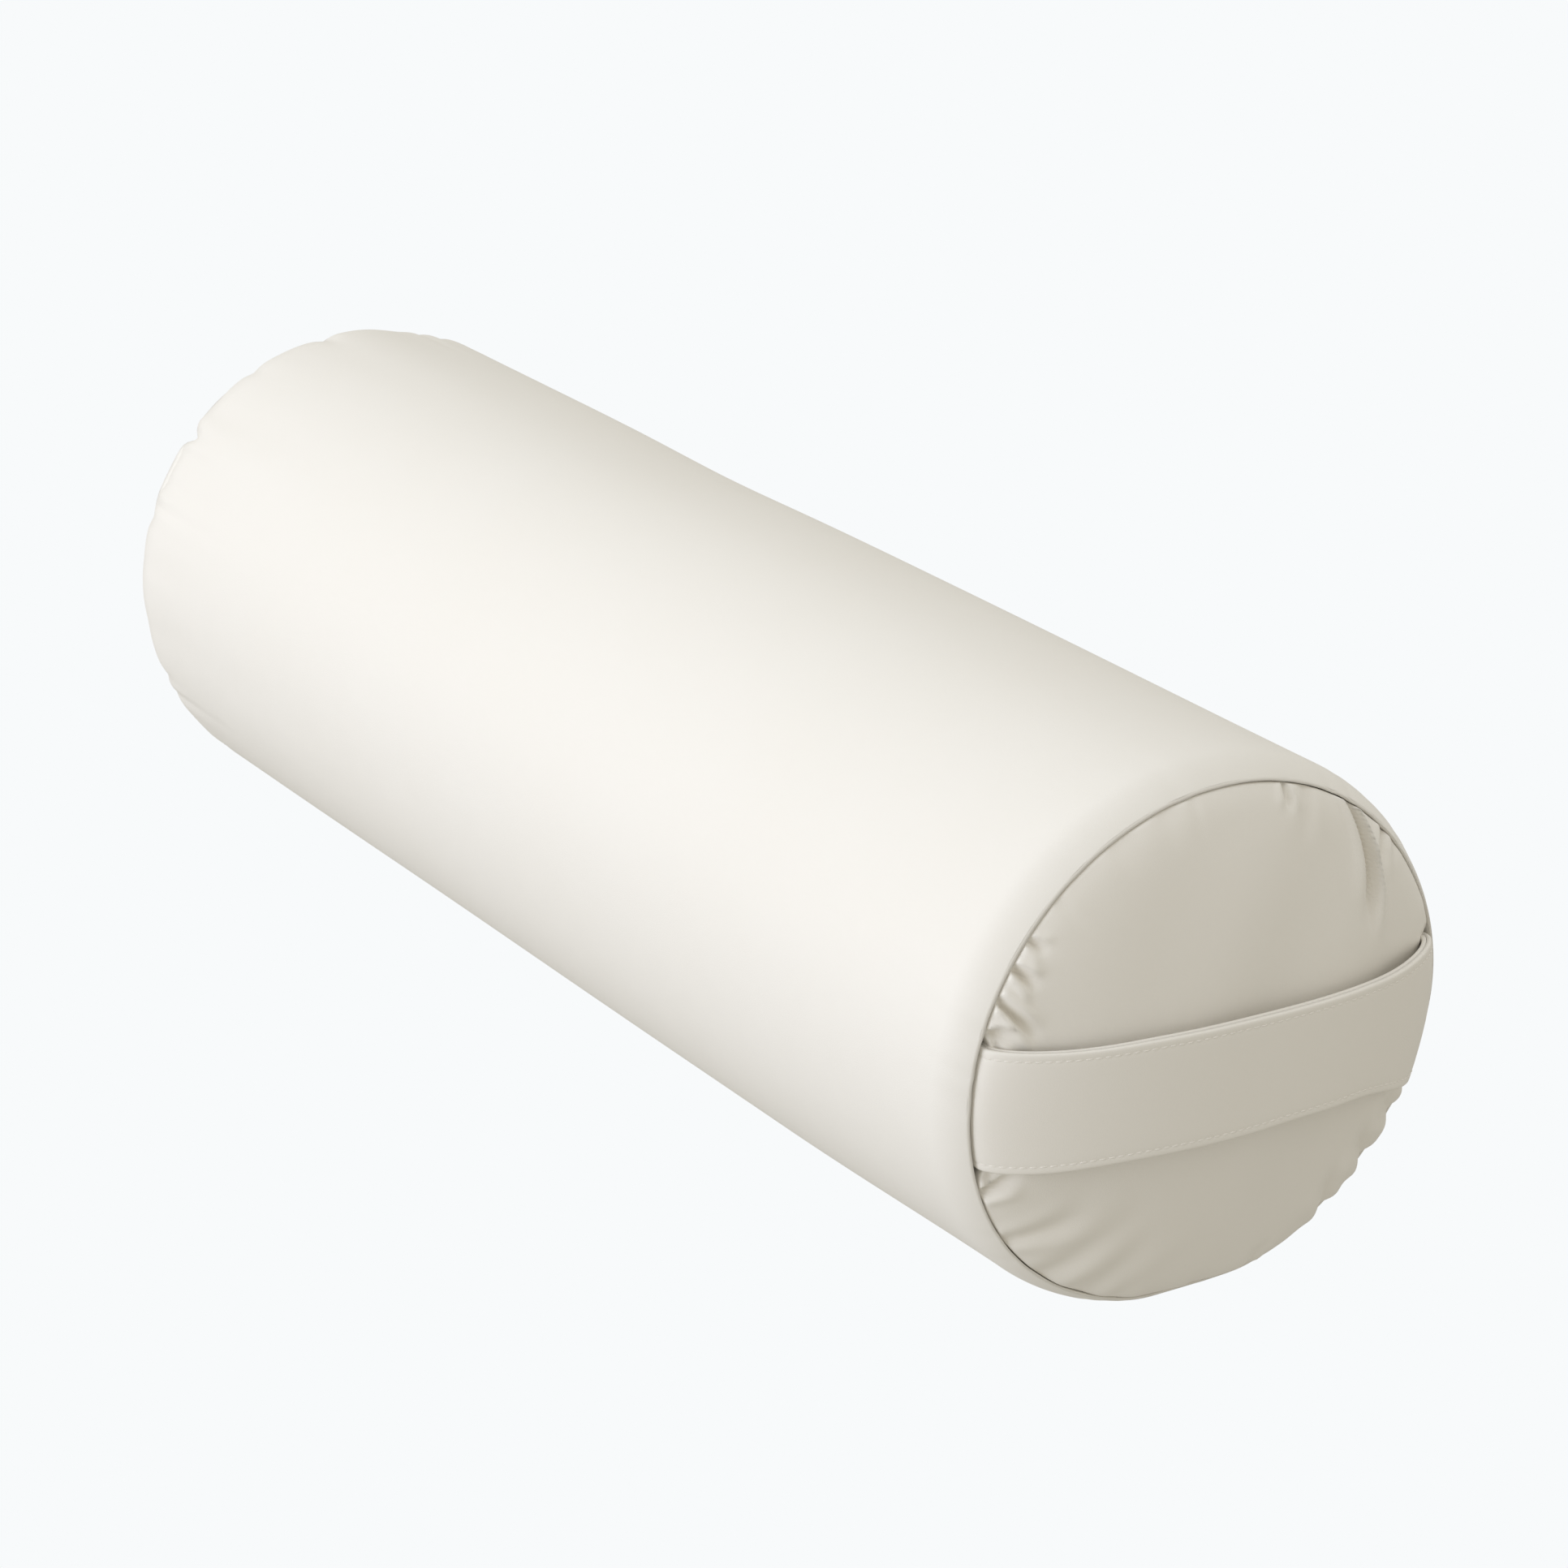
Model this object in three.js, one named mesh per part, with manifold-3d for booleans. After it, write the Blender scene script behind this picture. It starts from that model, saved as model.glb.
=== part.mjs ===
// Round massage bolster: a foam core in a sewn cover with crowned ends, a strap handle and a zip.
//
// Units are millimetres. X runs along the bolster with the handle at +X, Z is up, and the origin
// lies on the surface that the bolster rests on, under its middle.
//
// Every layer shares one soft section: an ellipse whose underside is pressed flat. A layer is
// drawn as a profile of (x, radius) on a round body and then brought to that section.

import * as THREE from 'three';
import { mergeVertices } from 'three/addons/utils/BufferGeometryUtils.js';
import Module from 'manifold-3d';

const wasm = await Module();
wasm.setup();

// ---- Driving dimensions -------------------------------------------------------------------

// Overall body
const LENGTH = 660; // over the handle strap at one end and the free crown at the other
const WIDTH = 211; // section across Y
const HEIGHT = 202; // section from the resting face to the top
const REST_PRESS = 2.3; // how much of the round underside is pressed flat
const SECTION_SIDES = 60;
const GAP = 0.3; // clearance between pieces that touch

// Sewn cover
const COVER_THICKNESS = 1.4;
const SEAM_INSET = 5.4; // how far the seam lies inside the side's radius
const EDGE_RADIUS = 20; // the side panel's roll towards each seam
const EDGE_STEPS = 4;
const SEAM_ALLOWANCE = 10; // turned in along X, under the side panel
const FAR_CROWN = 25.4; // the free end panel stands this far out of its seam
const CROWN_STEPS = 8;
const CROWN_ROUNDNESS = [2.2, 1.3]; // exponents of the crown's profile, across and along X

// Filling
const BATTING_THICKNESS = 13;

// Handle strap
const STRAP_WIDTH = 46;
const STRAP_RISE = 27.6; // outer face of the strap over the seam
const STRAP_STRIP = 1.2; // thickness of the face strip and of the backing strip
const WEBBING_THICKNESS = 1.2;
const WEBBING_MARGIN = 3; // the webbing is this much narrower than the strip on each side
const STRAP_TAIL = 9; // sewn in along X, inside the seam
const STRAP_STEPS = 24;
const STRAP_ROUNDNESS = [2.6, 1.5]; // exponents of the strap's arch, across and along X
const FINGER_GAP = 7; // between the strap and the end panel at the middle

// Zip
const ZIP_ANGLE = -20; // degrees round the section from +Y, so low on the back
const ZIP_OPENING = 480;
const TAPE_THICKNESS = 0.6;
const TAPE_WIDTH = 10.7;
const TAPE_OVERRUN = 8; // each tape runs this far under the cover past the slot
const COIL_WIDTH = 2.3;
const COIL_HEIGHT = 1.9;
const STOP_LENGTH = 3;
const STOP_WALL = 0.6;
const SLIDER_LENGTH = 11;
const SLIDER_PLATE = 1;
const SLIDER_FLANGE = 0.8;
const SLIDER_POST = [2, 1.2]; // along X and across the chain
const FLANGE_CLEARANCE = 0.4; // between a row of teeth and the slider's flange
const SLOT_CLEARANCE = 0.8; // between the slider's flange and the edge of the slot
const BRIDGE_LENGTH = 6.4;
const BRIDGE_WIDTH = 1.8;
const BRIDGE_WALL = 0.95;
const TAB_LENGTH = 24;
const TAB_THICKNESS = 1.1;
const TAB_ARM = 1.5; // width of each arm beside the eye
const TAB_GRIP_WIDTH = 7.2;

// ---- Derived sizes ------------------------------------------------------------------------

const HALF_WIDTH = WIDTH / 2;
const HALF_HEIGHT = (HEIGHT + REST_PRESS) / 2;
const AXIS_HEIGHT = HALF_HEIGHT - REST_PRESS;
const BODY_RADIUS = (HALF_WIDTH + HALF_HEIGHT) / 2;
const SEAM_RADIUS = BODY_RADIUS - SEAM_INSET;
const NEAR_SEAM = LENGTH / 2 - STRAP_RISE;
const FAR_SEAM = LENGTH / 2 - FAR_CROWN; // measured towards -X
const WEBBING_DEPTH = STRAP_STRIP + GAP;
const BACKING_DEPTH = WEBBING_DEPTH + WEBBING_THICKNESS + GAP;
const STRAP_THICKNESS = BACKING_DEPTH + STRAP_STRIP;
const NEAR_CROWN = STRAP_RISE - STRAP_THICKNESS - FINGER_GAP;
const PANEL_RADIUS = SEAM_RADIUS - COVER_THICKNESS - GAP; // an end panel's outer radius
const PAD_RADIUS = PANEL_RADIUS - COVER_THICKNESS - GAP;
const WRAP_RADIUS = BODY_RADIUS - COVER_THICKNESS - GAP;
const CORE_RADIUS = WRAP_RADIUS - BATTING_THICKNESS - GAP;
const TUCK_DEPTH = Math.max(SEAM_ALLOWANCE, STRAP_TAIL); // what is turned in at a seam
const ALLOWANCE_CLEAR = TUCK_DEPTH + 2 * GAP;
const PAD_EDGE = TUCK_DEPTH + GAP; // straight side of an end pad behind its dome
const ZIP_CENTRE = (NEAR_SEAM - FAR_SEAM) / 2;

// ---- Materials ----------------------------------------------------------------------------

const material = (color, roughness, metalness = 0) => (
  new THREE.MeshStandardMaterial({ color, roughness, metalness })
);

const MATERIALS = {
  cover: material(0xf3f0ea, 0.55),
  panel: material(0xe9e4da, 0.55),
  strap: material(0xefebe3, 0.55),
  webbing: material(0xdedbd2, 0.9),
  foam: material(0xe8dfb8, 0.95),
  batting: material(0xfafaf8, 1),
  tape: material(0xe6e2d8, 0.9),
  coil: material(0xf0ede6, 0.4),
  metal: material(0xb9bcbe, 0.35, 1),
};

// ---- Solids -------------------------------------------------------------------------------

// A geometry with only shared positions and no triangle that folds to a line.
function closed(geometry) {
  const bare = geometry.clone();
  bare.deleteAttribute('uv');
  bare.deleteAttribute('normal');
  const merged = mergeVertices(bare, 1e-4);
  const index = merged.index.array;
  const kept = [];
  for (let i = 0; i < index.length; i += 3) {
    const [a, b, c] = index.slice(i, i + 3);
    if (a !== b && b !== c && c !== a) kept.push(a, b, c);
  }
  merged.setIndex(kept);
  return merged;
}

function toManifold(geometry) {
  const mesh = closed(geometry);
  return new wasm.Manifold(new wasm.Mesh({
    numProp: 3,
    vertProperties: new Float32Array(mesh.attributes.position.array),
    triVerts: new Uint32Array(mesh.index.array),
  }));
}

function toGeometry(manifold) {
  const mesh = manifold.getMesh();
  const geometry = new THREE.BufferGeometry();
  geometry.setAttribute('position', new THREE.BufferAttribute(mesh.vertProperties, 3));
  geometry.setIndex(new THREE.BufferAttribute(mesh.triVerts, 1));
  return geometry;
}

const cut = (geometry, ...cutters) => toGeometry(
  cutters.reduce((solid, cutter) => solid.subtract(toManifold(cutter)), toManifold(geometry)),
);

const join = (first, ...others) => toGeometry(
  others.reduce((solid, other) => solid.add(toManifold(other)), toManifold(first)),
);

// A box from its low corner to its high corner.
function block([x0, y0, z0], [x1, y1, z1]) {
  const geometry = new THREE.BoxGeometry(x1 - x0, y1 - y0, z1 - z0);
  return geometry.translate((x0 + x1) / 2, (y0 + y1) / 2, (z0 + z1) / 2);
}

// An outline in (x, y) made thick along Z, centred on z = 0.
function slab(outline, thickness, holes = []) {
  const clockwise = THREE.ShapeUtils.isClockWise(outline);
  const shape = new THREE.Shape(clockwise ? [...outline].reverse() : outline);
  shape.holes = holes.map((hole) => new THREE.Path(hole));
  const geometry = new THREE.ExtrudeGeometry(shape, { depth: thickness, bevelEnabled: false });
  return geometry.translate(0, 0, -thickness / 2);
}

// An outline in (y, z) made long along X, centred on x = 0.
function bar(outline, length) {
  const geometry = slab(outline, length);
  return geometry.applyMatrix4(new THREE.Matrix4().makeBasis(
    new THREE.Vector3(0, 1, 0),
    new THREE.Vector3(0, 0, 1),
    new THREE.Vector3(1, 0, 0),
  ));
}

// ---- The bolster's section ----------------------------------------------------------------

// Half the section's width at a height above the axis, for a layer of this radius.
function halfWidthAt(radius, height) {
  const across = (radius * HALF_WIDTH) / BODY_RADIUS;
  const up = (radius * HALF_HEIGHT) / BODY_RADIUS;
  return across * Math.sqrt(1 - (height / up) ** 2);
}

// Turns a profile of (x, radius) round the axis and brings it to the soft section. A profile
// that doesn't start and end on the axis is a ring.
function layer(profile) {
  const points = profile.map(([x, radius]) => new THREE.Vector2(radius, x));
  if (THREE.ShapeUtils.isClockWise(points)) points.reverse();
  if (points[0].x > 0) points.push(points[0].clone());
  const geometry = new THREE.LatheGeometry(points, SECTION_SIDES);
  const position = geometry.attributes.position;
  for (let i = 0; i < position.count; i += 1) {
    const across = (-position.getX(i) * HALF_WIDTH) / BODY_RADIUS;
    const up = (position.getZ(i) * HALF_HEIGHT) / BODY_RADIUS;
    const radius = Math.hypot(position.getX(i), position.getZ(i));
    const flat = (-AXIS_HEIGHT * radius) / BODY_RADIUS;
    position.setXYZ(i, position.getY(i), across, AXIS_HEIGHT + Math.max(up, flat));
  }
  return closed(geometry);
}

// Points along a rounded bulge that stands `rise` out of x = base and reaches zero at `reach`.
function bulge(base, reach, rise, [across, along], steps) {
  const points = [];
  for (let i = 0; i <= steps; i += 1) {
    const share = Math.sin((i / steps) * Math.PI / 2);
    points.push([base + rise * (1 - share ** across) ** (1 / along), reach * share]);
  }
  return points;
}

// The side panel's roll from its straight stretch to the seam at x = seam, for a face that lies
// `depth` under the outer face.
const rollTurn = Math.acos(1 - SEAM_INSET / EDGE_RADIUS);
const rollStart = (seam) => seam - EDGE_RADIUS * Math.sin(rollTurn);

function edgeRoll(seam, depth) {
  const points = [];
  for (let i = 0; i <= EDGE_STEPS; i += 1) {
    const angle = (rollTurn * i) / EDGE_STEPS;
    points.push([
      rollStart(seam) + (EDGE_RADIUS - depth) * Math.sin(angle),
      BODY_RADIUS - EDGE_RADIUS + (EDGE_RADIUS - depth) * Math.cos(angle),
    ]);
  }
  return points;
}

const mirrored = (points) => points.map(([x, radius]) => [-x, radius]).reverse();

// ---- Cover --------------------------------------------------------------------------------

// One end of the side panel: the roll, the folded edge, the allowance turned in, and the roll's
// inner face.
function sideEnd(seam) {
  const inside = edgeRoll(seam, COVER_THICKNESS).filter(
    ([x, radius]) => radius > SEAM_RADIUS + GAP && x < seam - GAP,
  );
  const hem = seam - SEAM_ALLOWANCE;
  return [
    ...edgeRoll(seam, 0),
    [seam, SEAM_RADIUS - COVER_THICKNESS],
    [hem, SEAM_RADIUS - COVER_THICKNESS],
    [hem, SEAM_RADIUS],
    [inside.at(-1)[0], SEAM_RADIUS],
    ...inside.reverse(),
  ];
}

const sideProfile = [...sideEnd(NEAR_SEAM), ...mirrored(sideEnd(FAR_SEAM))];

// An end panel at +X: the crowned disc and the allowance turned in under the side panel.
function endPanel(seam, crown) {
  const hem = seam - SEAM_ALLOWANCE;
  const inner = PANEL_RADIUS - COVER_THICKNESS;
  return [
    ...bulge(seam, PANEL_RADIUS, crown, CROWN_ROUNDNESS, CROWN_STEPS),
    [hem, PANEL_RADIUS],
    [hem, inner],
    ...bulge(seam, inner, crown - COVER_THICKNESS, CROWN_ROUNDNESS, CROWN_STEPS).reverse(),
  ];
}

// The wadding pad that fills an end panel at +X.
function endPad(seam, crown) {
  const depth = COVER_THICKNESS + GAP;
  return [
    ...bulge(seam, PAD_RADIUS, crown - depth, CROWN_ROUNDNESS, CROWN_STEPS),
    [seam - PAD_EDGE, PAD_RADIUS],
    [seam - PAD_EDGE, 0],
  ];
}

const tube = (from, to, inner, outer) => [[from, inner], [from, outer], [to, outer], [to, inner]];
const rod = (from, to, radius) => [[from, 0], [from, radius], [to, radius], [to, 0]];

// ---- Handle strap -------------------------------------------------------------------------

const STRAP_REACH = halfWidthAt(PANEL_RADIUS + GAP, STRAP_WIDTH / 2) - GAP;

// One face of the strap in (x, y), `depth` under its outer face, from the tail at -Y to the
// tail at +Y.
function strapFace(depth, tail) {
  const half = bulge(
    NEAR_SEAM,
    STRAP_REACH - depth,
    STRAP_RISE - depth,
    STRAP_ROUNDNESS,
    STRAP_STEPS / 2,
  );
  const outward = [...half, [NEAR_SEAM - tail, STRAP_REACH - depth]];
  const back = outward.slice(1).reverse().map(([x, y]) => [x, -y]);
  return [...back, ...outward].map(([x, y]) => new THREE.Vector2(x, y));
}

function strapStrip(depth, thickness, width, tail = STRAP_TAIL) {
  const outline = [...strapFace(depth, tail), ...strapFace(depth + thickness, tail).reverse()];
  return slab(outline, width).translate(0, 0, AXIS_HEIGHT);
}

// The room that the strap's ends need where they pass through the seam.
const strapPassage = strapStrip(
  -SEAM_INSET,
  STRAP_THICKNESS + SEAM_INSET + GAP,
  STRAP_WIDTH + 2 * GAP,
  ALLOWANCE_CLEAR,
);

// ---- Zip ----------------------------------------------------------------------------------

// The zip is drawn in its own frame: x along the bolster, y out of the skin, z up the skin, with
// y = 0 on the cover's outer face.
const zipTurn = THREE.MathUtils.degToRad(ZIP_ANGLE);
const zip = new THREE.Group();
zip.position.set(
  ZIP_CENTRE,
  HALF_WIDTH * Math.cos(zipTurn),
  AXIS_HEIGHT + HALF_HEIGHT * Math.sin(zipTurn),
);
zip.rotation.x = Math.atan2(Math.sin(zipTurn) / HALF_HEIGHT, Math.cos(zipTurn) / HALF_WIDTH);
zip.updateMatrix();
const onSkin = (geometry) => geometry.applyMatrix4(zip.matrix);

const halfSlot = ZIP_OPENING / 2;
const halfTape = halfSlot + TAPE_OVERRUN;
const [postLength, postWidth] = SLIDER_POST;
const coilInner = postWidth / 2 + GAP;
const coilOuter = coilInner + COIL_WIDTH;
const tapeInner = coilInner + 2 * GAP;
const tapeOuter = tapeInner + TAPE_WIDTH;
// The tapes are flat, so they lie under the skin by as much as it curves away over their width.
const skinRadius = Math.min(HALF_WIDTH ** 2 / HALF_HEIGHT, HALF_HEIGHT ** 2 / HALF_WIDTH);
const skinDrop = skinRadius - Math.sqrt(skinRadius ** 2 - tapeOuter ** 2);
const tapeTop = -COVER_THICKNESS - skinDrop - GAP;
const tapeBottom = tapeTop - TAPE_THICKNESS;
const coilBottom = tapeTop + GAP;
const coilTop = coilBottom + COIL_HEIGHT;
const halfChain = halfSlot - STOP_LENGTH - 3 * GAP;
const plateBottom = Math.max(coilTop + GAP, 0) + GAP;
const plateTop = plateBottom + SLIDER_PLATE;
const lowerPlateTop = tapeBottom - GAP;
const lowerPlateBottom = lowerPlateTop - SLIDER_PLATE;
const halfSlider = SLIDER_LENGTH / 2;
const sliderRest = -halfChain + halfSlider + GAP; // closed, at the far end
const halfSliderWidth = coilOuter + FLANGE_CLEARANCE + SLIDER_FLANGE;
const halfSlotWidth = halfSliderWidth + SLOT_CLEARANCE;
const hingeBarRadius = TAB_THICKNESS / Math.SQRT2; // over the corners of the tab's square bar
const hingeLift = hingeBarRadius + GAP;
const hingeLine = plateTop + hingeLift;
const bridgeHeight = hingeLift + hingeBarRadius + GAP + BRIDGE_WALL;

const zipSlot = onSkin(block(
  [-halfSlot, -2 * COVER_THICKNESS, -halfSlotWidth],
  [halfSlot, 2 * COVER_THICKNESS, halfSlotWidth],
));

const zipGroove = onSkin(block(
  [-halfTape - GAP, lowerPlateBottom - GAP, -tapeOuter - 2 * GAP],
  [halfTape + GAP, 2 * COVER_THICKNESS, tapeOuter + 2 * GAP],
));

// side is +1 for the upper half of the zip and -1 for the lower half.
const onSide = (side, low, high) => [side * low, side * high].sort((a, b) => a - b);

function zipTape(side) {
  const [low, high] = onSide(side, tapeInner, tapeOuter);
  return block([-halfTape, tapeBottom, low], [halfTape, tapeTop, high]);
}

function zipCoil(side) {
  const [low, high] = onSide(side, coilInner, coilOuter);
  return block([-halfChain, coilBottom, low], [halfChain, coilTop, high]);
}

// A clip of C section round one tape's inner edge, in (y, z).
function clipOutline(side) {
  const spine = tapeInner - GAP;
  return [
    [coilTop, spine - STOP_WALL],
    [coilTop, coilOuter],
    [coilBottom, coilOuter],
    [coilBottom, spine],
    [lowerPlateTop, spine],
    [lowerPlateTop, coilOuter],
    [lowerPlateBottom + GAP, coilOuter],
    [lowerPlateBottom + GAP, spine - STOP_WALL],
  ].map(([y, z]) => new THREE.Vector2(y, side * z));
}

const stopPlace = halfSlot - GAP - STOP_LENGTH / 2;
const topStop = (side) => bar(clipOutline(side), STOP_LENGTH).translate(-stopPlace, 0, 0);

function bottomStop() {
  const outline = [...clipOutline(1), ...clipOutline(-1).reverse()];
  return bar(outline, STOP_LENGTH).translate(stopPlace, 0, 0);
}

function zipSlider() {
  const bridgeBottom = plateTop - GAP;
  const bridgeTop = plateTop + bridgeHeight;
  const plate = block(
    [-halfSlider, plateBottom, -halfSliderWidth],
    [halfSlider, plateTop, halfSliderWidth],
  );
  const lowerPlate = block(
    [-halfSlider, lowerPlateBottom, -halfSliderWidth],
    [halfSlider, lowerPlateTop, halfSliderWidth],
  );
  const post = block(
    [-halfSlider + GAP, lowerPlateTop - GAP, -postWidth / 2],
    [-halfSlider + GAP + postLength, plateBottom + GAP, postWidth / 2],
  );
  const flanges = [-1, 1].map((side) => {
    const [low, high] = onSide(side, halfSliderWidth - SLIDER_FLANGE, halfSliderWidth);
    return block([-halfSlider, coilBottom + 2 * GAP, low], [halfSlider, plateTop - GAP, high]);
  });
  const bridge = cut(
    block(
      [-BRIDGE_LENGTH / 2, bridgeBottom, -BRIDGE_WIDTH / 2],
      [BRIDGE_LENGTH / 2, bridgeTop, BRIDGE_WIDTH / 2],
    ),
    block(
      [-BRIDGE_LENGTH / 2 + BRIDGE_WALL, bridgeBottom - GAP, -BRIDGE_WIDTH],
      [BRIDGE_LENGTH / 2 - BRIDGE_WALL, bridgeTop - BRIDGE_WALL, BRIDGE_WIDTH],
    ),
  );
  return join(plate, lowerPlate, post, ...flanges, bridge).translate(sliderRest, 0, 0);
}

// The tab lies along +X at rest. Its eye passes round the slider's bridge, and the bar that
// closes the eye turns on the hinge line under the bridge.
function zipPullTab() {
  const half = TAB_THICKNESS / 2;
  const eyeEnd = Math.hypot(BRIDGE_LENGTH / 2, bridgeHeight - hingeLift) + 2 * GAP;
  const neck = eyeEnd + TAB_THICKNESS;
  const eyeHalf = BRIDGE_WIDTH / 2 + 2 * GAP;
  const eyeOuter = eyeHalf + TAB_ARM;
  const corner = TAB_THICKNESS;
  const upper = [
    [-half, eyeOuter],
    [neck, eyeOuter],
    [TAB_LENGTH / 2, TAB_GRIP_WIDTH / 2],
    [TAB_LENGTH - corner, TAB_GRIP_WIDTH / 2],
    [TAB_LENGTH, TAB_GRIP_WIDTH / 2 - corner],
  ];
  const lower = upper.map(([x, z]) => [x, -z]).reverse();
  const eye = [[half, eyeHalf], [eyeEnd, eyeHalf], [eyeEnd, -eyeHalf], [half, -eyeHalf]];
  const slot = [
    [TAB_LENGTH / 2, TAB_THICKNESS],
    [TAB_LENGTH - 3 * corner, TAB_THICKNESS],
    [TAB_LENGTH - 3 * corner, -TAB_THICKNESS],
    [TAB_LENGTH / 2, -TAB_THICKNESS],
  ];
  const vectors = (points) => points.map(([x, z]) => new THREE.Vector2(x, z));
  const tab = slab(vectors([...upper, ...lower]), TAB_THICKNESS, [vectors(eye), vectors(slot)]);
  return tab.rotateX(Math.PI / 2).translate(sliderRest, hingeLine, 0);
}

// ---- Assembly -----------------------------------------------------------------------------

function piece(name, geometry, look) {
  const mesh = new THREE.Mesh(closed(geometry), look.clone());
  mesh.name = name;
  return mesh;
}

const bolster = new THREE.Group();

bolster.add(
  piece('side_panel', cut(layer(sideProfile), zipSlot), MATERIALS.cover),
  piece('end_panel_near', cut(layer(endPanel(NEAR_SEAM, NEAR_CROWN)), strapPassage),
    MATERIALS.panel),
  piece('end_panel_far', layer(mirrored(endPanel(FAR_SEAM, FAR_CROWN))), MATERIALS.panel),
);

const wrapNear = Math.min(NEAR_SEAM - ALLOWANCE_CLEAR, rollStart(NEAR_SEAM));
const wrapFar = -Math.min(FAR_SEAM - ALLOWANCE_CLEAR, rollStart(FAR_SEAM));
const coreNear = NEAR_SEAM - PAD_EDGE - GAP;
const coreFar = -(FAR_SEAM - PAD_EDGE - GAP);

bolster.add(
  piece('foam_core', layer(rod(coreFar, coreNear, CORE_RADIUS)), MATERIALS.foam),
  piece('batting_wrap',
    cut(layer(tube(wrapFar, wrapNear, CORE_RADIUS + GAP, WRAP_RADIUS)), zipGroove),
    MATERIALS.batting),
  piece('batting_pad_near', cut(layer(endPad(NEAR_SEAM, NEAR_CROWN)), strapPassage),
    MATERIALS.batting),
  piece('batting_pad_far', layer(mirrored(endPad(FAR_SEAM, FAR_CROWN))), MATERIALS.batting),
);

bolster.add(
  piece('strap_face', strapStrip(0, STRAP_STRIP, STRAP_WIDTH), MATERIALS.strap),
  piece('strap_webbing',
    strapStrip(WEBBING_DEPTH, WEBBING_THICKNESS, STRAP_WIDTH - 2 * WEBBING_MARGIN),
    MATERIALS.webbing),
  piece('strap_backing', strapStrip(BACKING_DEPTH, STRAP_STRIP, STRAP_WIDTH), MATERIALS.strap),
);

zip.add(
  piece('zip_tape_upper', zipTape(1), MATERIALS.tape),
  piece('zip_tape_lower', zipTape(-1), MATERIALS.tape),
  piece('zip_coil_upper', zipCoil(1), MATERIALS.coil),
  piece('zip_coil_lower', zipCoil(-1), MATERIALS.coil),
  piece('zip_top_stop_upper', topStop(1), MATERIALS.metal),
  piece('zip_top_stop_lower', topStop(-1), MATERIALS.metal),
  piece('zip_bottom_stop', bottomStop(), MATERIALS.metal),
  piece('zip_slider', zipSlider(), MATERIALS.metal),
  piece('zip_pull_tab', zipPullTab(), MATERIALS.metal),
);
bolster.add(zip);

export default bolster;
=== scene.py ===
"""Looks of a white massage bolster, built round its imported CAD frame.

Units are metres in the CAD frame: X runs along the bolster with the strap handle at +X and Z is up.
Angles round the section start at +Y and turn towards +Z. Angles on an end panel, as a clock face
seen from outside the strap end, start at the top and turn towards +Y.
"""

import math

import bmesh
import bpy
import numpy as np
from mathutils import Matrix, Vector


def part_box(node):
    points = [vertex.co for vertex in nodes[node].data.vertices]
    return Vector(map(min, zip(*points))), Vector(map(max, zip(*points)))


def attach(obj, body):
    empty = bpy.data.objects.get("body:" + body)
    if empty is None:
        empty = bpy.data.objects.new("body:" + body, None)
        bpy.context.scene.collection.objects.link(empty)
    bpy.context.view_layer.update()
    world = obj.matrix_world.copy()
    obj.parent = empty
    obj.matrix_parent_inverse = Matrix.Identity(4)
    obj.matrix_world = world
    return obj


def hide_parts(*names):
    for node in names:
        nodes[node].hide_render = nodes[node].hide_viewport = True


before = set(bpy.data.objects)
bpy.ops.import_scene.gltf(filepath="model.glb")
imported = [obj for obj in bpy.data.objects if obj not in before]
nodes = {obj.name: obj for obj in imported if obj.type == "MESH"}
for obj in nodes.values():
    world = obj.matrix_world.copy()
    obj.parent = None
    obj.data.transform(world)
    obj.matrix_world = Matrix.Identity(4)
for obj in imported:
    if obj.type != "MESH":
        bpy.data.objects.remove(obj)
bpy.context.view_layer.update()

MM = 0.001

# ---- Sizes of the frame ----

SIDE_LOW, SIDE_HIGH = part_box("side_panel")
STRAP_LOW, STRAP_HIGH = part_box("strap_face")

AXIS = (STRAP_LOW.z + STRAP_HIGH.z) / 2
HALF_WIDTH = SIDE_HIGH.y
HALF_HEIGHT = SIDE_HIGH.z - AXIS
BODY_RADIUS = (HALF_WIDTH + HALF_HEIGHT) / 2
NEAR_SEAM = SIDE_HIGH.x
FAR_SEAM = SIDE_LOW.x
NEAR_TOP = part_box("end_panel_near")[1].x
FAR_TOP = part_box("end_panel_far")[0].x

# ---- Sizes of the sewn cover ----

GAP = 0.3 * MM
COVER_THICKNESS = 1.2 * MM
SEAM_RADIUS = BODY_RADIUS - 5.4 * MM
PANEL_RADIUS = SEAM_RADIUS - COVER_THICKNESS - 0.1 * MM
NEAR_EDGE_ROLL = 20 * MM
FAR_EDGE_ROLL = 26 * MM
TURN_IN = 9 * MM
CROWN_ACROSS = 2.2  # exponents of an end panel's crown, across and along X
CROWN_ALONG = 1.3
COLUMNS = 480  # points round the side panel
SOFTNESS = 0.5 * MM  # how softly the gathers' outer side is held to the full radius
SETTLED = 0.35 * MM  # away from the zip the side panel lies this much inside the full radius

STRAP_THICKNESS = 4.2 * MM
STRAP_SKIN = 1.2 * MM
STRAP_ACROSS = 2.6  # exponents of the strap's arch, across and along X
STRAP_ALONG = 1.5
STRAP_TAIL = 8 * MM
STRAP_GROOVE = 0.2 * MM  # depth of the groove under the stitches

STITCH_PITCH = 3.4 * MM
STITCH_LENGTH = 2.5 * MM
THREAD_RADIUS = 0.32 * MM
# share of the length, size of the ring, height over the cloth in thread radii
STITCH_PROFILE = [(0, 0.5, -0.6), (0.12, 0.9, -0.1), (0.5, 1.0, 0.15), (0.88, 0.9, -0.1), (1, 0.5, -0.6)]

# ---- Sizes of the zip ----

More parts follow.
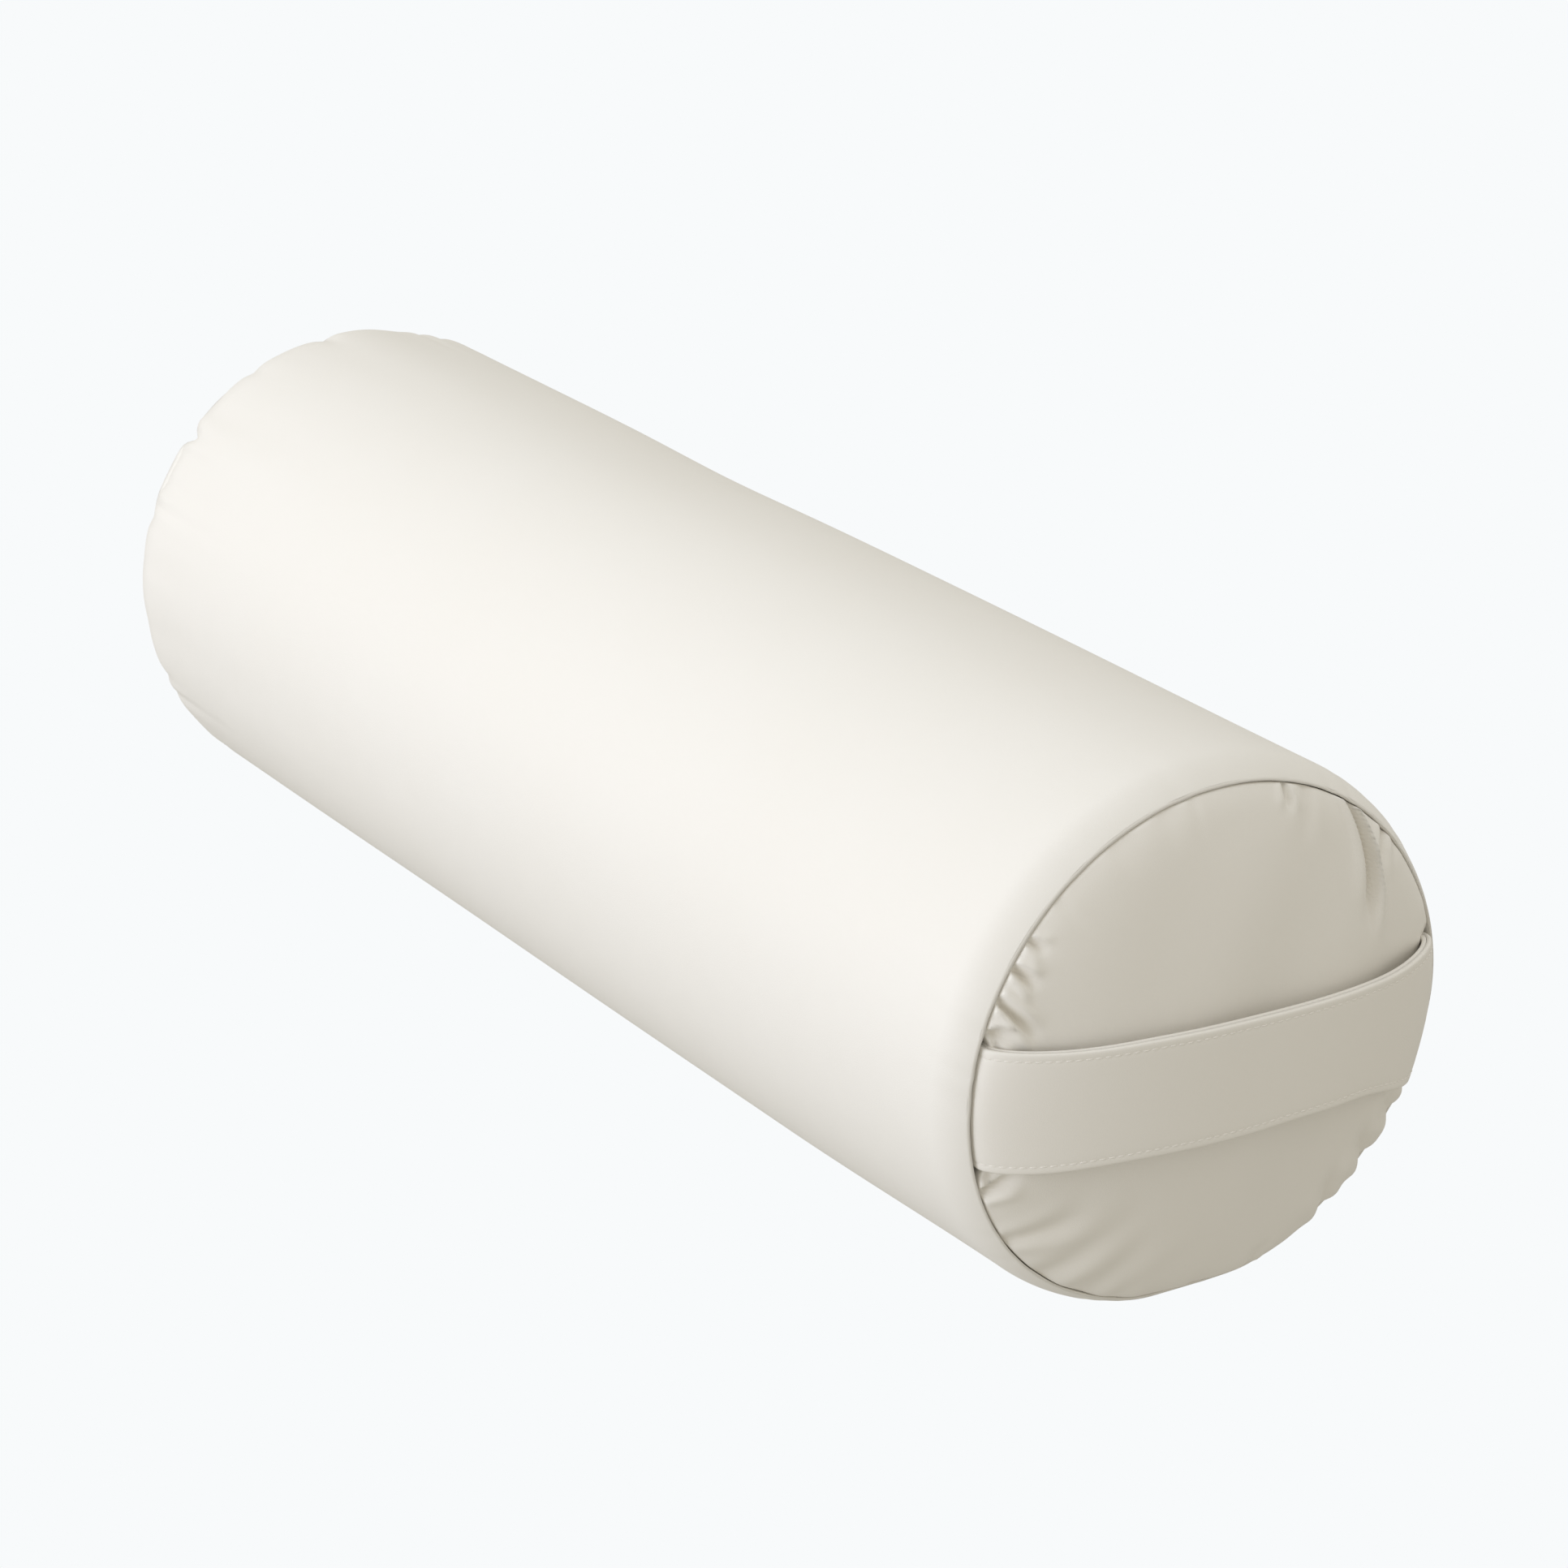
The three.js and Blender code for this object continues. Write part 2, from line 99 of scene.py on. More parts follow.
ZIP_SLOT_LOW, ZIP_SLOT_HIGH = -241.1 * MM, 238.9 * MM
ZIP_ORIGIN = Vector((-1.1 * MM, 99.138 * MM, 64.913 * MM))
ZIP_TILT = math.radians(-20.6)
ZIP_HALF_WIDTH = 5.2 * MM
ZIP_REACH = 250 * MM  # the tapes end within this distance from the bolster's middle
LIP_RADIUS = 0.9 * MM
STITCH_INSET = 2.6 * MM  # from the slot's edge to the stitches
# distances from the slot's edge where the side panel has points
LIP_STEPS = [0, 0.15 * MM, 0.45 * MM, LIP_RADIUS, 1.9 * MM, STITCH_INSET, 3.3 * MM]
TOOTH_PITCH = 1.3 * MM
# distance from the chain's middle, half length along the chain, half height, in mm
TOOTH_PROFILE = [
    (3.2, 0.30, 0.70),
    (3.0, 0.40, 0.92),
    (1.7, 0.40, 0.92),
    (1.3, 0.52, 0.86),
    (1.05, 0.52, 0.80),
    (0.9, 0.36, 0.55),
]

# ---- How the bolster has slumped ----

# Places round the section are angles in radians from +Y, and so are the widths beside them.
LIFT = 5.5 * MM  # the strap end's underside comes off the floor
LIFT_PLACE, LIFT_WIDTH = -1.7, 0.75
LIFT_REACH = 150 * MM  # along X, from the strap end's seam
DRAWN_IN = 5.5 * MM  # the strap end is smaller on its lower +Y side
DRAWN_PLACE, DRAWN_WIDTH = -0.72, 0.62
BULGE = 1.6 * MM  # the strap end stands out on its +Y side
BULGE_PLACE, BULGE_WIDTH = 0.12, 0.35
SEAM_SAG = 1.8 * MM  # the strap end's seam hangs down and to +Y
SEAM_LEAN = 1.2 * MM
SEAM_BAND = 16 * MM
NEAR_SWELL = 2.4 * MM  # the strap end's panel stands out past its CAD solid
FAR_TILT = 3.2 * MM  # the far end leans out at its top
FAR_TILT_PLACE = 0.35
PUCKER_WIDTH = math.radians(2.1)
PUCKER_LENGTH = 13 * MM
WADDING_SINK = 3.0 * MM  # the wadding lies deeper than its CAD solid, clear of the cover's dips


# ---- Numbers and meshes ----


def smooth_step(low, high, value):
    """0 below low, 1 above high and an even curve between them."""
    share = np.clip((value - low) / (high - low), 0, 1)
    return share * share * (3 - 2 * share)


def bell(distance, width):
    """1 at no distance, falling evenly to both sides."""
    return np.exp(-((distance / width) ** 2))


def angle_gap(a, b):
    """The signed turn from b to a, in radians."""
    return (a - b + np.pi) % (2 * np.pi) - np.pi


def section(x, radius, angle):
    """Points on the bolster's soft section, for a layer of this radius."""
    across = radius * np.cos(angle) * HALF_WIDTH / BODY_RADIUS
    up = radius * np.sin(angle) * HALF_HEIGHT / BODY_RADIUS
    floor = -AXIS * radius / BODY_RADIUS
    blend = 0.6 * MM
    up = floor + blend * np.logaddexp(0, (up - floor) / blend)
    return np.stack(np.broadcast_arrays(x, across, AXIS + up), -1)


# angle round the section and depth of the deepest gathers at the far seam
FAR_PUCKERS = [
    (40, 1.6 * MM),
    (68, 2.6 * MM),
    (99, 3.0 * MM),
    (119, 1.4 * MM),
    (141, 5.4 * MM),
    (163, 1.6 * MM),
    (203, 2.4 * MM),
    (262, 1.6 * MM),
    (318, 2.0 * MM),
]


def far_puckers(angle):
    """How far the cloth is drawn in at the far seam's deepest gathers."""
    total = np.zeros_like(angle)
    for place, depth in FAR_PUCKERS:
        total += depth * bell(angle_gap(angle, math.radians(place)), PUCKER_WIDTH)
    return total


def by_zip(x, angle):
    """1 round the zip, where the cover has to lie on the tapes, and 0 well away from it."""
    across = np.abs(angle_gap(angle, ZIP_TILT)) * BODY_RADIUS
    along = np.maximum(np.abs(x) - ZIP_REACH, 0)
    return 1 - smooth_step(15 * MM, 40 * MM, np.hypot(across, along))


def slump(points):
    """The bolster as it lies: the strap end is drawn in underneath, with its seam a little low
    and to +Y, and the far end leans out at its top."""
    x, y, z = points[..., 0], points[..., 1], points[..., 2] - AXIS
    angle = np.arctan2(z, y)
    out = np.hypot(z, y) / BODY_RADIUS
    reach = smooth_step(NEAR_SEAM - LIFT_REACH, NEAR_SEAM, x)
    band = smooth_step(NEAR_SEAM - SEAM_BAND, NEAR_SEAM, x)
    past_zip = smooth_step(ZIP_REACH, NEAR_SEAM, x)
    far = smooth_step(-ZIP_REACH, FAR_SEAM, x)
    drawn = DRAWN_IN * past_zip * out * bell(angle_gap(angle, DRAWN_PLACE), DRAWN_WIDTH)
    drawn += far_puckers(angle) * out**2 * bell(x - FAR_SEAM, PUCKER_LENGTH)
    free = 1 - by_zip(x, angle)
    lift = LIFT * reach * free * out**2 * bell(angle_gap(angle, LIFT_PLACE), LIFT_WIDTH)
    bulge = BULGE * reach**4 * out**4 * bell(angle_gap(angle, BULGE_PLACE), BULGE_WIDTH)
    moved = points.copy()
    moved[..., 0] -= FAR_TILT * far * out * np.sin(angle - FAR_TILT_PLACE)
    moved[..., 1] -= drawn * np.cos(angle)
    moved[..., 2] -= drawn * np.sin(angle)
    moved[..., 2] += lift - SEAM_SAG * band
    moved[..., 1] += bulge + SEAM_LEAN * band
    return moved


def add_mesh(name, points, faces, material, smooth=True):
    mesh = bpy.data.meshes.new(name)
    mesh.from_pydata(np.reshape(points, (-1, 3)).tolist(), [], faces)
    mesh.validate()
    mesh.polygons.foreach_set("use_smooth", [smooth] * len(mesh.polygons))
    mesh.materials.append(material)
    obj = bpy.data.objects.new(name, mesh)
    bpy.context.scene.collection.objects.link(obj)
    return obj


def grid_faces(rows, columns, ring=False, ringed_rows=False, keep=None):
    """Quads of a grid of points. ring joins the last column to the first."""
    faces = []
    for i in range(rows if ringed_rows else rows - 1):
        for j in range(columns if ring else columns - 1):
            if keep is not None and not keep[i, j]:
                continue
            i1 = (i + 1) % rows
            j1 = (j + 1) % columns
            faces.append((i * columns + j, i * columns + j1, i1 * columns + j1, i1 * columns + j))
    return faces


def apply_modifier(obj, kind, **settings):
    modifier = obj.modifiers.new(kind.lower(), kind)
    for name, value in settings.items():
        setattr(modifier, name, value)
    bpy.context.view_layer.objects.active = obj
    bpy.ops.object.modifier_apply(modifier=modifier.name)


def fix_normals(obj):
    bm = bmesh.new()
    bm.from_mesh(obj.data)
    bmesh.ops.recalc_face_normals(bm, faces=bm.faces)
    bm.to_mesh(obj.data)
    bm.free()


def get_points(obj):
    points = np.empty(len(obj.data.vertices) * 3)
    obj.data.vertices.foreach_get("co", points)
    return points.reshape(-1, 3)


def set_points(obj, points):
    obj.data.vertices.foreach_set("co", np.asarray(points).ravel())
    obj.data.update()


def finish_piece(obj, body="bolster", replaces=()):
    if replaces:
        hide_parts(*replaces)
    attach(obj, body)
    return obj


# ---- Materials ----


def shade(colour, share):
    return tuple(c * share for c in colour)


class Nodes:
    """A short way to write a material's nodes."""

    def __init__(self, name):
        self.material = bpy.data.materials.new(name)
        self.material.use_nodes = True
        self.tree = self.material.node_tree
        self.shader = self.tree.nodes["Principled BSDF"]
        self.place = self.add("ShaderNodeTexCoord").outputs["Object"]

    def add(self, kind, links=(), **values):
        node = self.tree.nodes.new(kind)
        for name, value in values.items():
            if name in node.inputs:
                node.inputs[name].default_value = value
            else:
                setattr(node, name, value)
        for name, source in dict(links).items():
            self.tree.links.new(source, node.inputs[name])
        return node

    def noise(self, scale, detail=3.0, roughness=0.5, place=None):
        node = self.add("ShaderNodeTexNoise", {"Vector": place or self.place})
        node.inputs["Scale"].default_value = scale
        node.inputs["Detail"].default_value = detail
        node.inputs["Roughness"].default_value = roughness
        return node.outputs["Fac"]

    def cells(self, scale, feature="DISTANCE_TO_EDGE", place=None):
        node = self.add("ShaderNodeTexVoronoi", {"Vector": place or self.place}, feature=feature)
        node.inputs["Scale"].default_value = scale
        return node.outputs["Distance"]

    def ramp(self, source, low, high, to_low=0.0, to_high=1.0):
        node = self.add("ShaderNodeMapRange", {"Value": source})
        ends = {"From Min": low, "From Max": high, "To Min": to_low, "To Max": to_high}
        for name, value in ends.items():
            node.inputs[name].default_value = value
        return node.outputs["Result"]

    def maths(self, operation, a, b):
        node = self.add("ShaderNodeMath", operation=operation)
        for socket, value in zip(node.inputs, (a, b)):
            if isinstance(value, (int, float)):
                socket.default_value = value
            else:
                self.tree.links.new(value, socket)
        return node.outputs[0]

    def blend(self, factor, a, b):
        """The colour that runs from a to b with the factor. Each is a colour or a socket."""
        node = self.add("ShaderNodeMix", data_type="RGBA")
        self.tree.links.new(factor, node.inputs["Factor"])
        for index, value in ((6, a), (7, b)):
            if isinstance(value, tuple):
                node.inputs[index].default_value = (*value, 1)
            else:
                self.tree.links.new(value, node.inputs[index])
        return node.outputs[2]

    def bump(self, height, distance, strength=1.0, under=None):
        node = self.add("ShaderNodeBump", {"Height": height})
        node.inputs["Distance"].default_value = distance
        node.inputs["Strength"].default_value = strength
        if under is not None:
            self.tree.links.new(under, node.inputs["Normal"])
        return node.outputs["Normal"]

    def finish(self, colour, roughness, normal, **settings):
        for name, value in (("Base Color", colour), ("Roughness", roughness), ("Normal", normal)):
            self.tree.links.new(value, self.shader.inputs[name])
        for name, value in settings.items():
            self.shader.inputs[name.replace("_", " ")].default_value = value
        return self.material


def leather(name, colour, crease_shade_colour, roughness=0.52):
    """Smooth coated fabric: a fine pebbled grain, a soft sheen, and painted shade, darker and warmer, in
    its folds and creases.
    """
    n = Nodes(name)
    warp = n.noise(260, 2)
    grain = n.cells(1150)
    pebble = n.ramp(grain, 0.0, 0.16)
    height = n.maths("ADD", pebble, n.maths("MULTIPLY", warp, 0.5))
    soft = n.bump(n.noise(38, 2), 0.35 * MM, 0.35)
    normal = n.bump(height, 0.035 * MM, 0.45, soft)
    cloud = n.ramp(n.noise(11, 4, 0.6), 0.35, 0.7)
    clouded = tuple(c * k for c, k in zip(colour, (0.985, 0.978, 0.962)))
    tint = n.blend(n.maths("MULTIPLY", cloud, 0.35), colour, clouded)
    # painted shade: where the surface is hollow, the colour runs half way towards the darker, warmer crease
    # colour
    point = n.add("ShaderNodeNewGeometry").outputs["Pointiness"]
    fold = n.ramp(point, 0.40, 0.49, 1.0, 0.0)
    tint = n.blend(n.maths("MULTIPLY", fold, 0.5), tint, crease_shade_colour)
    rough = n.ramp(n.noise(90, 3), 0.3, 0.7, roughness - 0.05, roughness + 0.05)
    return n.finish(tint, rough, normal, Specular_IOR_Level=0.35, Sheen_Weight=0.08, Sheen_Roughness=0.4)


def woven(name, colour, thread=0.55 * MM, angle=0.0):
    """A plain weave of two sets of threads in the X and Z directions of its own plane."""
    n = Nodes(name)
    turn = n.add("ShaderNodeMapping", {"Vector": n.place})
    turn.inputs["Rotation"].default_value = (angle, 0, 0)
    place = turn.outputs["Vector"]
    waves = []
    for direction in ("X", "Z"):
        wave = n.add("ShaderNodeTexWave", {"Vector": place}, bands_direction=direction)
        wave.inputs["Scale"].default_value = 0.314 / thread
        wave.inputs["Distortion"].default_value = 0.6
        wave.inputs["Detail"].default_value = 1
        waves.append(wave.outputs["Fac"])
    weave = n.maths("MULTIPLY", waves[0], waves[1])
    fuzz = n.noise(1600, 3)
    normal = n.bump(n.maths("ADD", weave, n.maths("MULTIPLY", fuzz, 0.3)), 0.12 * MM, 0.8)
    tint = n.blend(weave, shade(colour, 0.78), colour)
    tint = n.blend(n.ramp(n.noise(30, 3), 0.4, 0.7, 0.0, 0.1), tint, shade(colour, 0.93))
    return n.finish(tint, n.ramp(fuzz, 0.2, 0.8, 0.75, 0.95), normal, Sheen_Weight=0.2)


def spongy(name, colour, scale, depth):
    """Foam or wadding: open cells or matted fibre, with no shine."""
    n = Nodes(name)
    pores = n.ramp(n.cells(scale, "F1"), 0.1, 0.7)
    fibre = n.noise(scale * 0.6, 5, 0.7)
    height = n.maths("ADD", pores, fibre)
    tint = n.blend(n.ramp(height, 0.5, 1.4), shade(colour, 0.72), colour)
    return n.finish(tint, n.ramp(fibre, 0.3, 0.7, 0.85, 1.0), n.bump(height, depth, 0.9), Sheen_Weight=0.15)


def moulded(name, colour):
    n = Nodes(name)
    mottle = n.noise(700, 2)
    tint = n.blend(n.ramp(mottle, 0.35, 0.65), shade(colour, 0.94), colour)
    return n.finish(tint, n.ramp(mottle, 0.3, 0.7, 0.32, 0.48), n.bump(mottle, 0.03 * MM, 0.4))


def brushed(name, colour):
    """Satin plated metal, brushed along X, a little darker where it is worn."""
    n = Nodes(name)
    stretch = n.add("ShaderNodeMapping", {"Vector": n.place})
    stretch.inputs["Scale"].default_value = (0.04, 1, 1)
    lines = n.noise(9000, 3, 0.6, stretch.outputs["Vector"])
    wear = n.ramp(n.noise(260, 3), 0.4, 0.75)
    tint = n.blend(wear, colour, shade(colour, 0.92))
    return n.finish(tint, n.ramp(lines, 0.3, 0.7, 0.2, 0.34), n.bump(lines, 0.01 * MM, 0.4), Metallic=1.0)


# the second colour of each fabric is the painted shade in its creases
COVER = leather("coated_fabric", (0.905, 0.885, 0.842), (0.74, 0.69, 0.60))
# the end panels' colour is a slightly darker, warmer copy of the side's: painted shade for the ends, which
# the key light doesn't face
COVER_END_SHADED = leather("coated_fabric_end_painted_shade", (0.900, 0.876, 0.828), (0.72, 0.67, 0.57))
# the strap's colour is a slightly warmer, darker copy of the side's, painted shade as on the end panels;
# its lower roughness is its own
STRAP = leather("coated_fabric_strap_painted_shade", (0.905, 0.880, 0.832), (0.72, 0.67, 0.57), 0.48)
WEBBING = woven("webbing_weave", (0.74, 0.72, 0.66), 0.9 * MM)
TAPE = woven("zip_tape_weave", (0.78, 0.755, 0.70), 0.5 * MM, math.radians(20.6))
THREAD = woven("sewing_thread", (0.84, 0.81, 0.75), 0.25 * MM)
FOAM = spongy("open_cell_foam", (0.83, 0.76, 0.52), 900, 0.5 * MM)
BATTING = spongy("polyester_wadding", (0.92, 0.92, 0.90), 350, 0.8 * MM)
NYLON = moulded("moulded_nylon", (0.86, 0.84, 0.79))
METAL = brushed("satin_nickel", (0.74, 0.73, 0.71))


# ---- Cloth ----


def inflate(obj, pinned, slack, most_slack, pressure, cap, frames=20):
    """Lets a panel swell as cloth, held at its pinned points, and keeps the result in its mesh.

    slack is how much bigger than its place each point's cloth is, as a share of most_slack.
    No point moves further than cap.
    """
    start = get_points(obj)
    for name, weights in (("pinned", pinned), ("slack", slack)):
        group = obj.vertex_groups.new(name=name)
        for index, weight in enumerate(weights):
            group.add([index], float(weight), "REPLACE")
    cloth = obj.modifiers.new("cloth", "CLOTH")
    settings = cloth.settings
    settings.quality = 6
    settings.mass = 0.25
    settings.tension_stiffness = 18
    settings.compression_stiffness = 12
    settings.shear_stiffness = 6
    settings.bending_stiffness = 4
    settings.vertex_group_mass = "pinned"
    settings.vertex_group_shrink = "slack"
    settings.shrink_min = 0
    settings.shrink_max = -most_slack
    settings.use_pressure = True
    settings.uniform_pressure_force = pressure
    settings.effector_weights.gravity = 0
    cloth.collision_settings.use_collision = False
    cloth.point_cache.frame_start = 1
    cloth.point_cache.frame_end = frames
    scene = bpy.context.scene
    for number in range(1, frames + 1):
        scene.frame_set(number)
    swollen = obj.evaluated_get(bpy.context.evaluated_depsgraph_get()).to_mesh()
    end = np.empty(len(swollen.vertices) * 3)
    swollen.vertices.foreach_get("co", end)
    obj.modifiers.remove(cloth)
    obj.vertex_groups.clear()
    scene.frame_set(1)
    move = end.reshape(-1, 3) - start
    length = np.linalg.norm(move, axis=1, keepdims=True)
    set_points(obj, start + move * np.minimum(1, cap / np.maximum(length, 1e-9)))


# ---- Side panel ----


def zip_coordinates(points):
    """How far points lie out of the zip's plane and how far up the skin from its middle."""
    y = points[..., 1] - ZIP_ORIGIN.y
    z = points[..., 2] - ZIP_ORIGIN.z
    outward = y * math.cos(ZIP_TILT) + z * math.sin(ZIP_TILT)
    up = -y * math.sin(ZIP_TILT) + z * math.cos(ZIP_TILT)
    return outward, up


def zip_angle(up):
    """The angle round the section of the point this far up the skin from the zip's middle."""
    angles = np.linspace(-0.8, 0.1, 4001)
    ups = zip_coordinates(section(0.0, BODY_RADIUS, angles))[1]
    return float(np.interp(up, ups, angles))


def edge_roll(roll, steps):
    """(distance from the seam, drop from the full radius) of the side panel as it rolls in."""
    inset = BODY_RADIUS - SEAM_RADIUS
    turn = math.acos(1 - inset / roll)
    angles = np.linspace(turn, 0, steps)
    return roll * (math.sin(turn) - np.sin(angles)), roll * (1 - np.cos(angles))


# (distance from the seam, depth under the seam's radius) of the side panel's turned-in edge
TUCK = [(TURN_IN, 0.5 * MM), (0.5 * TURN_IN, 0.5 * MM), (1.8 * MM, 0.45 * MM), (0.7 * MM, 0.3 * MM)]


def side_profile():
    """(x, radius) of the side panel from its turned-in far edge to its turned-in near edge."""
    rows = []
    for seam, sign, roll in ((FAR_SEAM, 1, FAR_EDGE_ROLL), (NEAR_SEAM, -1, NEAR_EDGE_ROLL)):
        tuck = [(seam + sign * d, SEAM_RADIUS - drop) for d, drop in TUCK]
        distance, drop = edge_roll(roll, 12)
        rolled = [(seam + sign * d, BODY_RADIUS - s) for d, s in zip(distance, drop)]
        rows.append(tuck + rolled)
    far, near = rows
    far_end, near_end = far[-1][0], near[-1][0]
    fine = list(np.arange(far_end + 3 * MM, far_end + 60 * MM, 3 * MM))
    fine += list(np.linspace(far_end + 62 * MM, near_end - 62 * MM, 46))
    fine += list(np.arange(near_end - 60 * MM, near_end - 1 * MM, 3 * MM))
    for edge, sign in ((ZIP_SLOT_LOW, -1), (ZIP_SLOT_HIGH, 1)):
        fine = [x for x in fine if not -6 * MM < (x - edge) * sign < 6 * MM]
        fine += [edge + sign * d for d in LIP_STEPS] + [edge - sign * 3 * MM]
    middle = [(x, BODY_RADIUS) for x in sorted(fine)]
    return np.array(far + middle + near[::-1])


def side_angles():
    """Angles of the side panel's columns, closer together beside the zip."""
    near_zip = [zip_angle(sign * (ZIP_HALF_WIDTH + d)) for sign in (-1, 1) for d in LIP_STEPS]
    near_zip += [zip_angle(share * ZIP_HALF_WIDTH) for share in (-0.6, -0.2, 0.2, 0.6)]
    even = np.linspace(-np.pi, np.pi, COLUMNS, endpoint=False)
    low, high = min(near_zip) - 0.006, max(near_zip) + 0.006
    kept = [a for a in even if not low < a < high]
    return np.array(sorted(kept + near_zip))


def pleats(angle, seed, count, width):
    """Gathers along a seam: narrow valleys between soft ridges, at uneven places."""
    random = np.random.default_rng(seed)
    total = np.zeros_like(angle)
    for place in random.uniform(-np.pi, np.pi, count):
        size = random.uniform(0.6, 1.5) * width
        depth = random.uniform(0.3, 1.0)
        lean = random.uniform(0.8, 1.5)
        gap = angle_gap(angle, place)
        ridges = bell(gap - 2.0 * size * lean, size * 1.3) + bell(gap + 2.0 * size, size)
        total -= depth * bell(gap, size)
        total += depth * 0.45 * ridges
    return total


def make_side():
    """The cover's tube, with gathers at its seams and a lipped slot for the zip."""
    profile = side_profile()
    angles = side_angles()
    x = profile[:, 0][:, None]
    radius = profile[:, 1][:, None]
    angle = angles[None, :]
    from_far = x - FAR_SEAM
    from_near = NEAR_SEAM - x
    row = np.arange(len(profile))
    tucked = (row < len(TUCK)) | (row >= len(profile) - len(TUCK))
    still = by_zip(x, angle)
    fading = np.exp(-from_far / (20 * MM)) - np.exp(-from_far / (6 * MM))
    far_gathers = pleats(angle, 4, 30, math.radians(2.0)) * fading * 3.0 * MM
    far_waves = pleats(angle, 9, 11, math.radians(6)) * np.exp(-from_far / (55 * MM)) * 1.8 * MM
    near_gathers = pleats(angle, 21, 26, math.radians(1.6)) * np.exp(-from_near / (9 * MM)) * 0.55 * MM
    near_waves = pleats(angle, 33, 9, math.radians(7)) * np.exp(-from_near / (50 * MM)) * 0.5 * MM
    sway = 0.35 * MM * np.sin(3 * angle + 14 * x + 1.0) * np.sin(11 * x + 2 * angle)
    upper_back = bell(angle_gap(angle, math.radians(58)), 0.6)
    sway = sway - 1.7 * MM * upper_back * bell(x + 85 * MM, 65 * MM)
    move = far_gathers + far_waves + near_gathers + near_waves + sway
    move = move * np.where(tucked, 0.3, 1)[:, None]
    move = move * (1 - still)
    move = SOFTNESS * (math.log(2) - np.logaddexp(0, -move / SOFTNESS)) - SETTLED * (1 - still)
    points = section(x, radius + move, angle)

    up = zip_coordinates(section(0.0, BODY_RADIUS, angles))[1]
    facing = np.abs(angle_gap(angles, zip_angle(0))) < 0.5
    across = np.where(facing, np.maximum(np.abs(up) - ZIP_HALF_WIDTH, 0), 1)
    along = np.maximum(np.maximum(ZIP_SLOT_LOW - profile[:, 0], profile[:, 0] - ZIP_SLOT_HIGH), 0)
    distance = np.hypot(across[None, :], along[:, None])
    short = np.clip(LIP_RADIUS - distance, 0, None)
    lip = LIP_RADIUS - np.sqrt(LIP_RADIUS**2 - short**2)
    lip = lip + 0.3 * MM * bell(distance - STITCH_INSET, 0.7 * MM) * (distance > 0)
    outward = np.stack([np.zeros_like(angles), np.cos(angles), np.sin(angles)], -1)
    points = points - lip[..., None] * outward[None]

    inside_x = (profile[:-1, 0] > ZIP_SLOT_LOW - 1e-6) & (profile[1:, 0] < ZIP_SLOT_HIGH + 1e-6)
    low, high = zip_angle(-ZIP_HALF_WIDTH), zip_angle(ZIP_HALF_WIDTH)
    following = np.roll(angles, -1)
    inside_angle = (angles > low - 1e-6) & (following < high + 1e-6) & (following > angles)
    keep = ~(inside_x[:, None] & inside_angle[None, :])
    faces = grid_faces(len(profile), len(angles), ring=True, keep=keep)
    obj = add_mesh("cover_side", slump(points), faces, COVER)
    apply_modifier(obj, "SOLIDIFY", thickness=COVER_THICKNESS, offset=-1)
    finish_piece(obj, replaces=["side_panel"])
    return obj


# ---- Strap ----

STRAP_REACH = STRAP_HIGH.y
STRAP_SEAM_REACH = (SEAM_RADIUS - COVER_THICKNESS - 2 * GAP) * HALF_WIDTH / BODY_RADIUS


def strap_line(depth, count):
    """(x, y) of the strap's path at this depth under its outer face, from -Y to +Y."""
    rise = STRAP_HIGH.x - NEAR_SEAM - depth
    reach = STRAP_REACH - depth
    turn = np.linspace(-np.pi / 2, np.pi / 2, count)
    y = reach * np.sign(np.sin(turn)) * np.abs(np.sin(turn)) ** (2 / STRAP_ACROSS)
    x = NEAR_SEAM + rise * np.abs(np.cos(turn)) ** (2 / STRAP_ALONG)
    return x, y


def strap_half_width(share):
    """Half the strap's width. share runs from -1 at its -Y end to 1 at its +Y end."""
    low_end = smooth_step(-0.55, -1, share)
    high_end = smooth_step(0.45, 1, share)
    return 21.3 * MM + 0.8 * MM * low_end + 5.0 * MM * high_end**1.5


def strap_middle(share):
    """Height of the strap's middle line above the axis."""
    low_end = smooth_step(-0.4, -1, share)
    high_end = smooth_step(0.5, 1, share)
    return 1.2 * MM - 2.2 * MM * low_end - 3.8 * MM * high_end


def strap_sheet(outline, count=120):
    """Sweeps an outline of (across as a share of the half width, depth) along the strap."""
    rings = []
    tail = np.linspace(STRAP_TAIL, 0, 4)[:-1]
    seam_height = HALF_HEIGHT * SEAM_RADIUS / BODY_RADIUS
    for across, depth in outline:
        x, y = strap_line(depth, count)
        x = np.concatenate([NEAR_SEAM - tail, x, NEAR_SEAM - tail[::-1]])
        y = np.concatenate([np.full(3, y[0]), y, np.full(3, y[-1])])
        share = y / (STRAP_REACH - depth)
        height = strap_middle(share) + across * strap_half_width(share)
        round_seam = np.sqrt(np.maximum(1 - (height / seam_height) ** 2, 0))
        stretch = STRAP_SEAM_REACH * round_seam / STRAP_REACH - 1
        y = y * (1 + stretch * np.abs(share) ** 7)
        rings.append(np.stack([x, y, AXIS + height], -1))
    return slump(np.array(rings))


# a strip's rounded edge and stitched groove: share of the half width, depth in grooves
STRAP_EDGE = [
    (-0.985, 0.55),
    (-0.955, 0.12),
    (-0.92, 0.0),
    (-0.895, 0.35),
    (-0.875, 1.0),
    (-0.855, 0.35),
    (-0.82, 0.0),
]


